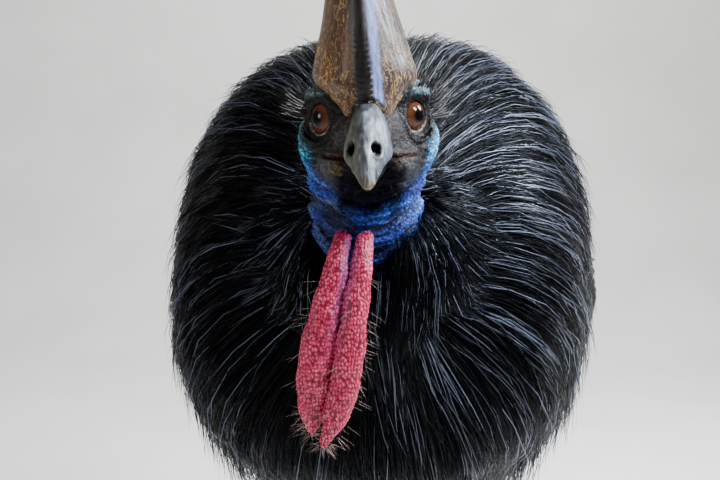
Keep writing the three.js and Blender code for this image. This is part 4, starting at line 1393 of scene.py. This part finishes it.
def strands(name, material, lines, out, half, root_uv, shade, thick=STRAND_DEPTH, pieces=1):
    """Closed three-sided strands: lines is (count, rings, 3), and half gives each ring's half width."""
    count, rings, _ = lines.shape
    way = unit(np.gradient(lines, axis=1))
    across = unit(np.cross(way, out))
    raised = np.cross(across, way)
    inner = slice(1, rings - 1)
    corners = []
    for turn in (90, 210, 330):
        c, s = math.cos(math.radians(turn)), math.sin(math.radians(turn))
        corners.append(lines[:, inner] + across[:, inner] * (half[:, inner] * c)[..., None]
                       + raised[:, inner] * (half[:, inner] * thick * s)[..., None])
    middle = np.stack(corners, 2).reshape(count, (rings - 2) * 3, 3)
    points = np.concatenate([lines[:, :1], middle, lines[:, -1:]], 1)
    each = points.shape[1]
    faces = []
    for k in range(3):
        n = (k + 1) % 3
        faces.append((0, 1 + n, 1 + k, 1 + k))
        for ring in range(rings - 3):
            a = 1 + ring * 3
            faces.append((a + k, a + n, a + 3 + n, a + 3 + k))
        a = 1 + (rings - 3) * 3
        faces.append((a + k, a + n, each - 1, each - 1))
    faces = np.array(faces)
    share = np.concatenate([[0], np.repeat(np.arange(1, rings - 1) / (rings - 1), 3), [1]])
    corner = np.concatenate([[0], np.tile([-1, 0, 1], rings - 2), [0]])
    offset = np.stack([corner * 0.0015, (share - 0.5) * 0.003], -1)
    for part in range(pieces):
        chosen = slice(part, count, pieces)
        p = points[chosen]
        n = len(p)
        f = (faces[None] + np.arange(n)[:, None, None] * each).reshape(-1, 4)
        uv = np.clip((root_uv[chosen][:, None] + offset[None]).reshape(-1, 2), 0, 1)
        numbers = {"shade": np.repeat(shade[chosen], each), "share": np.tile(share, n)}
        label = name if pieces == 1 else f"{name}_{part + 1}"
        piece(label, p.reshape(-1, 3), f, material, None, numbers, uv)


def lie(p):
    """The lie of the feathers: out from the neck's root, and more and more downwards."""
    from_neck = p - FLOW_NECK
    from_body = p - FLOW_BODY
    reach = np.linalg.norm(from_body, axis=-1)
    near = ramp(np.linalg.norm(from_neck, axis=-1), 90, 55)[:, None]
    throat = ramp(np.abs(p[:, 0]), 60, 15) * ramp(p[:, 1], -510, -545)
    down = 0.33 + 0.48 * np.clip((reach - 46) / 124, 0, 1) + 0.6 * throat
    away = unit(from_neck) * near + unit(from_body) * (1 - near)
    return away + np.stack([0 * down, 0.17 * down, -down], -1)


def turned(v, axis, angle):
    """Vectors turned about axes at right angles to them."""
    return v * np.cos(angle)[:, None] + np.cross(axis, v) * np.sin(angle)[:, None]


def followed(start, lengths, levels, turn, heading=lie):
    """Lines that run along the coat's form from their roots, at a level for each ring."""
    at = start
    line, outs = [], []
    for i in range(STRAND_RINGS):
        at = settled(outside_coat, at, levels[:, i], 1 if i else 2)
        out = outward(outside_coat, at)
        line.append(at)
        outs.append(out)
        way = heading(at)
        way = unit(way - out * (way * out).sum(-1, keepdims=True))
        way = turned(way, out, turn + 0.07 * clouds(at, 120, 81))
        at = at + way * (lengths / (STRAND_RINGS - 1))[:, None]
    return np.stack(line, 1), np.stack(outs, 1)


def spread_on(points, faces, count, weight):
    """Points spread at random over a surface, more where the weight is higher."""
    a, b, c, d = (points[faces[:, k]] for k in range(4))
    area = 0.5 * np.linalg.norm(np.cross(c - a, d - b), axis=-1) * weight((a + c) / 2)
    chosen = rng.choice(len(faces), count, p=area / area.sum())
    u, v = rng.random((2, count, 1))
    return (a[chosen] * (1 - u) + b[chosen] * u) * (1 - v) + (d[chosen] * (1 - u) + c[chosen] * u) * v


def inset(share, margin=0.01):
    """A share moved a little in from the edges of the UV square."""
    return margin + (1 - 2 * margin) * share


def body_unwrap(p):
    """The place of each root on an unwrap of the body: round its long axis and along it."""
    away = (p - UNWRAP_CENTRE) / UNWRAP_RADII
    polar = np.arccos(np.clip(unit(away)[:, 1], -1, 1)) / math.pi
    turn = np.arctan2(away[:, 0], away[:, 2]) / TURN + 0.5
    return inset(np.stack([turn, polar], -1), 0.002)


def clumped(lines, roots, group, low, high):
    """Strands drawn towards a shared guide near their tips, as in a feather, and the shade of each."""
    count = len(lines)
    guide_count = count // group
    strength = rng.uniform(low, high, guide_count)
    guides = rng.choice(count, guide_count, replace=False)
    tree = KDTree(guide_count)
    for i, g in enumerate(guides):
        tree.insert(roots[g], i)
    tree.balance()
    chosen = np.array([tree.find(root)[1] for root in roots])
    pull = strength[chosen][:, None, None] * RING_SHARES[None, :, None] ** 1.2
    shade = 0.78 * (0.6 * rng.random(guide_count)[chosen] + 0.4 * rng.random(count))
    return lines * (1 - pull) + lines[guides[chosen]] * pull, shade


def body_coat(surface, material):
    """Long strands over the whole body. The brightest are painted sheen, in patches on the breast and
    shoulders, fewer low down and towards the back, as painted light.
    """
    near_front = lambda p: 1.0 + 0.9 * ramp(p[:, 1], -150, -420)
    roots = spread_on(*surface, STRANDS_A_PIECE * COAT_PIECES, near_front)
    bare = (above_border(roots) > -4) & (neck.outside(roots) < 14)
    roots = roots[~bare & (roots[:, 2] > COAT_LOWEST)]
    _, y, z = roots.T
    count = len(roots)
    away = np.linalg.norm(roots - FLOW_NECK, axis=-1)
    # Painted sheen falls in patches, more on the upper body and towards the front.
    sheen_patches = (0.3 + 1.6 * ramp(clouds(roots, 110, 83), -0.5, 0.5)) * (0.22 + 0.78 * ramp(z, 710, 920))
    sheen_strand = rng.random(count) < SHEEN_SHARE * (sheen_patches * (0.3 + 0.7 * ramp(y, -60, -260)))
    lengths = (165 + 130 * ramp(away, 60, 260)) * rng.uniform(0.7, 1.2, count)
    top = np.where(sheen_strand, rng.uniform(-4, 3, count), rng.uniform(-17, -1, count))[:, None]
    low = 0.3 + 0.7 * ramp(z, 880, 680)
    loose = (rng.random(count) < 0.3) * rng.uniform(0, 1, count) ** 1.5 * 52 * low
    levels = -COAT_DEPTH + (top + COAT_DEPTH) * np.minimum(1, RING_SHARES * 1.5)
    lines, outs = followed(roots, lengths, levels, rng.normal(0, 0.05, count))
    lines, shade = clumped(lines, roots, *COAT_CLUMPS)
    lines = lines + outs * (loose[:, None] * RING_SHARES**3)[..., None]
    shade = np.where(sheen_strand, rng.uniform(*SHEEN_SHADES, count), shade)
    half = np.where(sheen_strand, rng.uniform(*SHEEN_HALF, count), rng.uniform(*COAT_HALF, count))
    half = np.outer(half, COAT_TAPER)
    strands("coat", material, lines, outs, half, body_unwrap(roots), shade, pieces=COAT_PIECES)


def from_neck_axis(p):
    """The way straight out from the neck, downwards on the throat, and with the coat farther out."""
    across = (p - (0, -500, 0)) * (1, 1, 0)
    out = unit(across)
    throat = ramp(out[:, 1], -0.6, -0.95)
    own = out + np.stack([0 * throat, 0 * throat, -0.12 - 1.2 * throat], -1)
    leave = ramp(np.linalg.norm(across, axis=-1), 75, 120)[:, None]
    return own * (1 - leave) + unit(lie(p)) * leave


def ruff(material):
    """Spiky feathers in a ring where the bare neck ends. They stand a little off the coat."""
    count = RUFF_STRANDS
    angle = rng.uniform(0, TURN, count)
    radial = np.stack([np.cos(angle), np.sin(angle), 0 * angle], -1)
    start = np.array([-3, -513, 0]) + radial * (44, 42, 0) + radial * rng.uniform(-1, 14, count)[:, None]
    x, y = start[:, 0], start[:, 1]
    behind_wattles = ramp(np.abs(x + 14), 34, 20) * ramp(y, -525, -545)
    climb = 10 + 9 * ramp(x, 5, 40) - 24 * behind_wattles
    start[:, 2] = 905 + math.tan(BORDER_TILT) * (y + 512) + climb - rng.uniform(0, 26, count)
    high = (rng.uniform(0, 14, count) * (1 - 0.9 * behind_wattles))[:, None]
    begin = outside_coat(start)[:, None]
    levels = begin + (high - begin) * ramp(RING_SHARES, 0, 0.8) - 15 * ramp(RING_SHARES, 0.4, 1)
    lengths = rng.uniform(*RUFF_LENGTHS, count) * (1 - 0.4 * behind_wattles)
    lines, outs = followed(start, lengths, levels, rng.normal(0, 0.12, count), from_neck_axis)
    lines, shade = clumped(lines, start, *RUFF_CLUMPS)
    # Some ruff strands are painted sheen, twice as many as on the coat.
    shade = np.where(rng.random(count) < 2 * SHEEN_SHARE, rng.uniform(*SHEEN_SHADES, count), shade)
    half = np.outer(rng.uniform(*RUFF_HALF, count), RUFF_TAPER)
    strands("ruff", material, lines, outs, half, body_unwrap(start), shade)


def thigh_coat(label, side, material):
    """Short strands that run straight down the thigh."""
    tube = thigh_tube(side)
    count = THIGH_STRANDS
    t = rng.uniform(0.30, 0.93, count)
    angle = rng.uniform(0, TURN, count)
    room = (0.975 - t) * tube.length
    lengths = np.minimum(rng.uniform(*THIGH_LENGTHS, count), room + rng.uniform(0, 6, count))
    root_level = -THIGH_DEPTH - 2
    top = rng.uniform(-9, 2, count)
    drift = rng.normal(0, 0.15, count)
    lines, outs = [], []
    for share in RING_SHARES:
        at = t + share * lengths / tube.length
        level = root_level + (top - root_level) * min(1, 1.6 * share)
        p, q = (tube.place(at, angle + drift * share, level + extra, 1.0) for extra in (0, 1))
        lines.append(p)
        outs.append(unit(q - p))
    lines, outs = np.stack(lines, 1), np.stack(outs, 1)
    lines, shade = clumped(lines, lines[:, 0], *THIGH_CLUMPS)
    half = np.outer(rng.uniform(*THIGH_COAT_HALF, count), THIGH_TAPER)
    uv = inset(np.stack([angle / TURN, t], -1))
    strands(f"thigh_coat_{label}", material, lines, outs, half, uv, shade)


def hairs(name, material, roots, headings, outs, lengths, wide, bend):
    """Single bristles that leave the skin along a heading and bend over."""
    share = RING_SHARES[None, :, None]
    lengths = lengths[:, None, None]
    lines = roots[:, None] + headings[:, None] * lengths * share + bend[:, None] * (lengths * share**2)
    out = np.repeat(outs[:, None], STRAND_RINGS, 1)
    q = to_head(roots)
    turn = np.arctan2(q[:, 0], -q[:, 1]) / TURN + 0.5
    uv = np.stack([inset(turn), np.clip((q[:, 2] + 160) / 230, 0.01, 0.99)], -1)
    half = np.outer(wide, HAIR_TAPER)
    strands(name, material, lines, out, half, uv, rng.random(len(roots)), 1.0)


def lashes(material):
    """Long lashes that stand out from the upper lids."""
    parts = []
    for side in SIDES.values():
        gaze = gaze_of(side)
        across = np.cross(gaze, UP) * -side
        turn = rng.uniform(math.radians(-8), math.radians(150), LASHES)
        spread = LID_OPENING + rng.uniform(0.02, 0.14, LASHES)
        ring = across * np.cos(turn)[:, None] + UP * np.sin(turn)[:, None]
        root = gaze * np.cos(spread)[:, None] + ring * np.sin(spread)[:, None]
        root = eye_at(side) + root * (EYE_RADIUS + 2)
        lean = np.array([side * 0.45, 0.1, 0.1]) + rng.normal(0, 0.16, (LASHES, 3))
        length = (10 + 18 * ramp(np.cos(turn), -0.6, 0.9)) * rng.uniform(0.6, 1.15, LASHES)
        parts.append((root, unit(ring * 0.9 + gaze * 0.35 + lean), np.tile(gaze, (LASHES, 1)), length))
    root, heading, out, length = (np.concatenate(group) for group in zip(*parts))
    bend = np.tile([0, 0.12, 0.22], (len(root), 1))
    heading, out, bend = (v @ HEAD_TURN.T for v in (heading, out, bend))
    wide = np.full(len(root), LASH_HALF)
    hairs("lashes", material, from_head(root), heading, out, length, wide, bend)


def face_hairs(surface, material):
    """Thin bristles over the lores, brows and cheeks, and a few on the neck."""

    def weight(p):
        _, y, z = to_head(p).T
        return 0.1 + ramp(y, 24, 4) * ramp(z, -40, -25) + 0.6 * ramp(z, 10, 22)

    roots = spread_on(*surface, FACE_HAIRS, weight)
    q = to_head(roots)
    keep = above_border(roots) > 2
    for side in SIDES.values():
        distance, angle = from_eye(q, side)
        keep &= (distance >= 21.5) | (angle >= LID_OPENING + 0.25)
    roots, x = roots[keep], q[keep][:, 0]
    out = outward(neck_outside, roots)
    back = np.stack([0.5 * np.sign(x), 0.8 + 0 * x, -0.35 + 0 * x], -1) @ HEAD_TURN.T
    heading = unit(back + out * 0.55 + rng.normal(0, 0.2, roots.shape))
    length = rng.uniform(*FACE_HAIR_LENGTHS, len(roots))
    wide = rng.uniform(*FACE_HAIR_HALF, len(roots))
    hairs("face_hairs", material, roots - out * 0.3, heading, out, length, wide, 0.12 * back)


def wattle_hairs(tubes, material):
    """Pale hairs on the lower part of the wattles, most of them near the tips."""
    parts = []
    for tube in tubes:
        t = 1 - 0.75 * rng.random(WATTLE_HAIRS) ** 1.8
        angle = rng.uniform(0, TURN, WATTLE_HAIRS)
        root = tube.place(t, angle)
        parts.append((root, unit(root - tube.place(t, angle, 0.0, np.zeros(WATTLE_HAIRS)) + 1e-4)))
    root, out = (np.concatenate(group) for group in zip(*parts))
    heading = unit(out - 0.5 * UP + rng.normal(0, 0.2, root.shape))
    length = rng.uniform(*WATTLE_HAIR_LENGTHS, len(root))
    wide = np.full(len(root), WATTLE_HAIR_HALF)
    hairs("wattle_hairs", material, root, heading, out, length, wide, 0.1 * out)


# Claws and wings


def claws(material):
    for name in TOES:
        for label, side in SIDES.items():
            tube = claw_tube(name, side)
            points, faces = lofted(tube.place, *CLAW_GRID)
            t, _, _ = tube.nearest(points)
            points[:, 2] = np.maximum(points[:, 2], 0)
            tint = layered(tone(50, 45, 39), ((22, 19, 17), ramp(t, 0.1, 0.9)))
            made = piece(f"claw_{name}_{label}_horn", points, faces, material, tint)
            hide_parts(f"claw_{name}_{label}")


def quill(root, share):
    """A bare quill that leaves the wing's root and then follows the coat backwards and down."""
    at = (root + (0, 18 - 16 * share, 5 - 14 * share))[None]
    heading = np.array([[0, 1 - 0.25 * share, -0.25 - 0.75 * share]])
    length = QUILL_LENGTH * (1 - 0.2 * abs(share - 0.4))
    line = []
    for k in range(QUILL_STEPS + 1):
        level = -WING_SINK + (5 + WING_SINK) * min(1, 5 * k / QUILL_STEPS)
        at = settled(outside_coat, at, np.array([level]), 2)
        out = outward(outside_coat, at)
        line.append(at[0])
        at = at + unit(heading - out * (heading * out).sum()) * length / QUILL_STEPS
    half = [(QUILL_THICK * part,) * 2 for part in QUILL_TAPER]
    return lofted(Tube(line, half, (0.3, 0.2, 1), (0.02, 0.02)).place, *QUILL_GRID)


def wings(material):
    for label, side in SIDES.items():
        near = np.array([[side * WING_NEAR[0], WING_NEAR[1], WING_NEAR[2]]], float)
        root = settled(outside_coat, near, np.array([-WING_SINK]), 3)[0]
        points, faces = joined([quill(root, i / (QUILLS - 1)) for i in range(QUILLS)])
        made = piece(f"wing_quills_{label}", points, faces, material)
        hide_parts(f"wing_{label}")


# Stage


def stage():
    """A pale floor that sweeps up into a wall."""
    profile = [(FLOOR_FRONT, 0.0), (FLOOR_BACK, 0.0)]
    for k in range(1, SWEEP_STEPS + 1):
        angle = k / SWEEP_STEPS * TURN / 4
        profile.append((FLOOR_BACK + SWEEP_RADIUS * math.sin(angle), SWEEP_RADIUS * (1 - math.cos(angle))))
    profile.append((FLOOR_BACK + SWEEP_RADIUS, WALL_TOP))
    count = FLOOR_COLUMNS
    points = [(x, y, z) for y, z in profile for x in np.linspace(-FLOOR_SIDE, FLOOR_SIDE, count)]
    faces = [
        (r * count + c, r * count + c + 1, (r + 1) * count + c + 1, (r + 1) * count + c)
        for r in range(len(profile) - 1) for c in range(count - 1)
    ]
    mesh = bpy.data.meshes.new("studio_floor")
    mesh.from_pydata(points, [], faces)
    mesh.polygons.foreach_set("use_smooth", [True] * len(mesh.polygons))
    mesh.materials.append(floor_material())
    floor = in_scene("studio_floor", mesh)
    floor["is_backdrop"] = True


def aimed(name, data, at, way):
    """A light or camera in the scene, turned to look along a way."""
    made = in_scene(name, data)
    made.location = at
    made.rotation_euler = Vector(way).to_track_quat("-Z", "Y").to_euler()
    return made


def lights():
    for name, (at, target, size, power, colour) in LIGHTS.items():
        data = bpy.data.lights.new(name, "AREA")
        data.shape = "DISK"
        data.size = size
        data.energy = power
        data.color = colour
        aimed(name, data, at, Vector(target) - Vector(at))
    world = bpy.data.worlds.new("studio")
    world.use_nodes = True
    background = world.node_tree.nodes["Background"]
    background.inputs["Color"].default_value = SKY_COLOUR
    background.inputs["Strength"].default_value = SKY_STRENGTH
    bpy.context.scene.world = world


def camera():
    data = bpy.data.cameras.new("photo_view")
    data.lens = CAMERA_LENS
    data.sensor_width = CAMERA_SENSOR
    data.clip_start = CAMERA_NEAR
    level = math.cos(CAMERA_PITCH)
    look = (-math.sin(CAMERA_YAW) * level, math.cos(CAMERA_YAW) * level, -math.sin(CAMERA_PITCH))
    bpy.context.scene.camera = aimed("photo_view", data, placed(CAMERA_AT), look)


def skin_piece(head, body, legs):
    """One skin over head, neck, body and legs. The legs have a material of their own."""
    parts = (head, body, *legs)
    points, faces = joined([part[:2] for part in parts])
    tint = np.vstack([part[2] for part in parts])
    q = to_head(head[0])
    gloss = np.zeros(len(points))
    # Less gloss in the painted shade under the bill.
    gloss[: len(q)] = 1 - 0.9 * under_bill_shade(q)
    for side in SIDES.values():
        gloss[: len(q)] *= ramp(mouth_share(q, side)[0], 1.6, 3.0)
    hide = piece("skin", points, faces, skin_material(), tint, {"gloss": gloss})
    hide.data.materials.append(leg_material())
    on_leg = np.arange(len(faces)) >= len(head[1]) + len(body[1])
    hide.data.polygons.foreach_set("material_index", on_leg.astype(np.int32))
    flesh = ["head", "neck", "torso"]
    flesh += [f"{part}_{side}" for part in LEG_PARTS for side in SIDES]
    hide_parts(*flesh)


def build():
    head, body = head_skin(), body_skin()
    skin_piece(head, body, [leg_skin(side) for side in SIDES.values()])
    casque_piece(casque_material())
    horn = bill_material()
    bill_piece("bill_top", "bill_upper", UPPER_BILL_ROWS, UPPER_SECTION, horn)
    bill_piece("bill_bottom", "bill_lower", LOWER_BILL_ROWS, LOWER_SECTION, horn)
    eyes = eye_material()
    for label, side in SIDES.items():
        eye_piece(label, side, eyes)
    red = wattle_material()
    tubes = [wattle_piece(label, red) for label in WATTLES]
    claws(claw_material())
    wings(quill_material())
    black = feather_material()
    body_coat(body[:2], black)
    ruff(black)
    for label, side in SIDES.items():
        thigh_coat(label, side, black)
    bristle = bristle_material("bristle_black", tone(4, 3, 3), tone(16, 14, 14))
    lashes(bristle)
    face_hairs(head[:2], bristle)
    wattle_hairs(tubes, bristle_material("bristle_pale", tone(150, 120, 112), tone(196, 170, 160)))


build()
stage()
lights()
camera()

as_lists = lambda box: [[float(v) for v in corner] for corner in box]
{"cad": as_lists(cad_box), "visual": as_lists(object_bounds())}
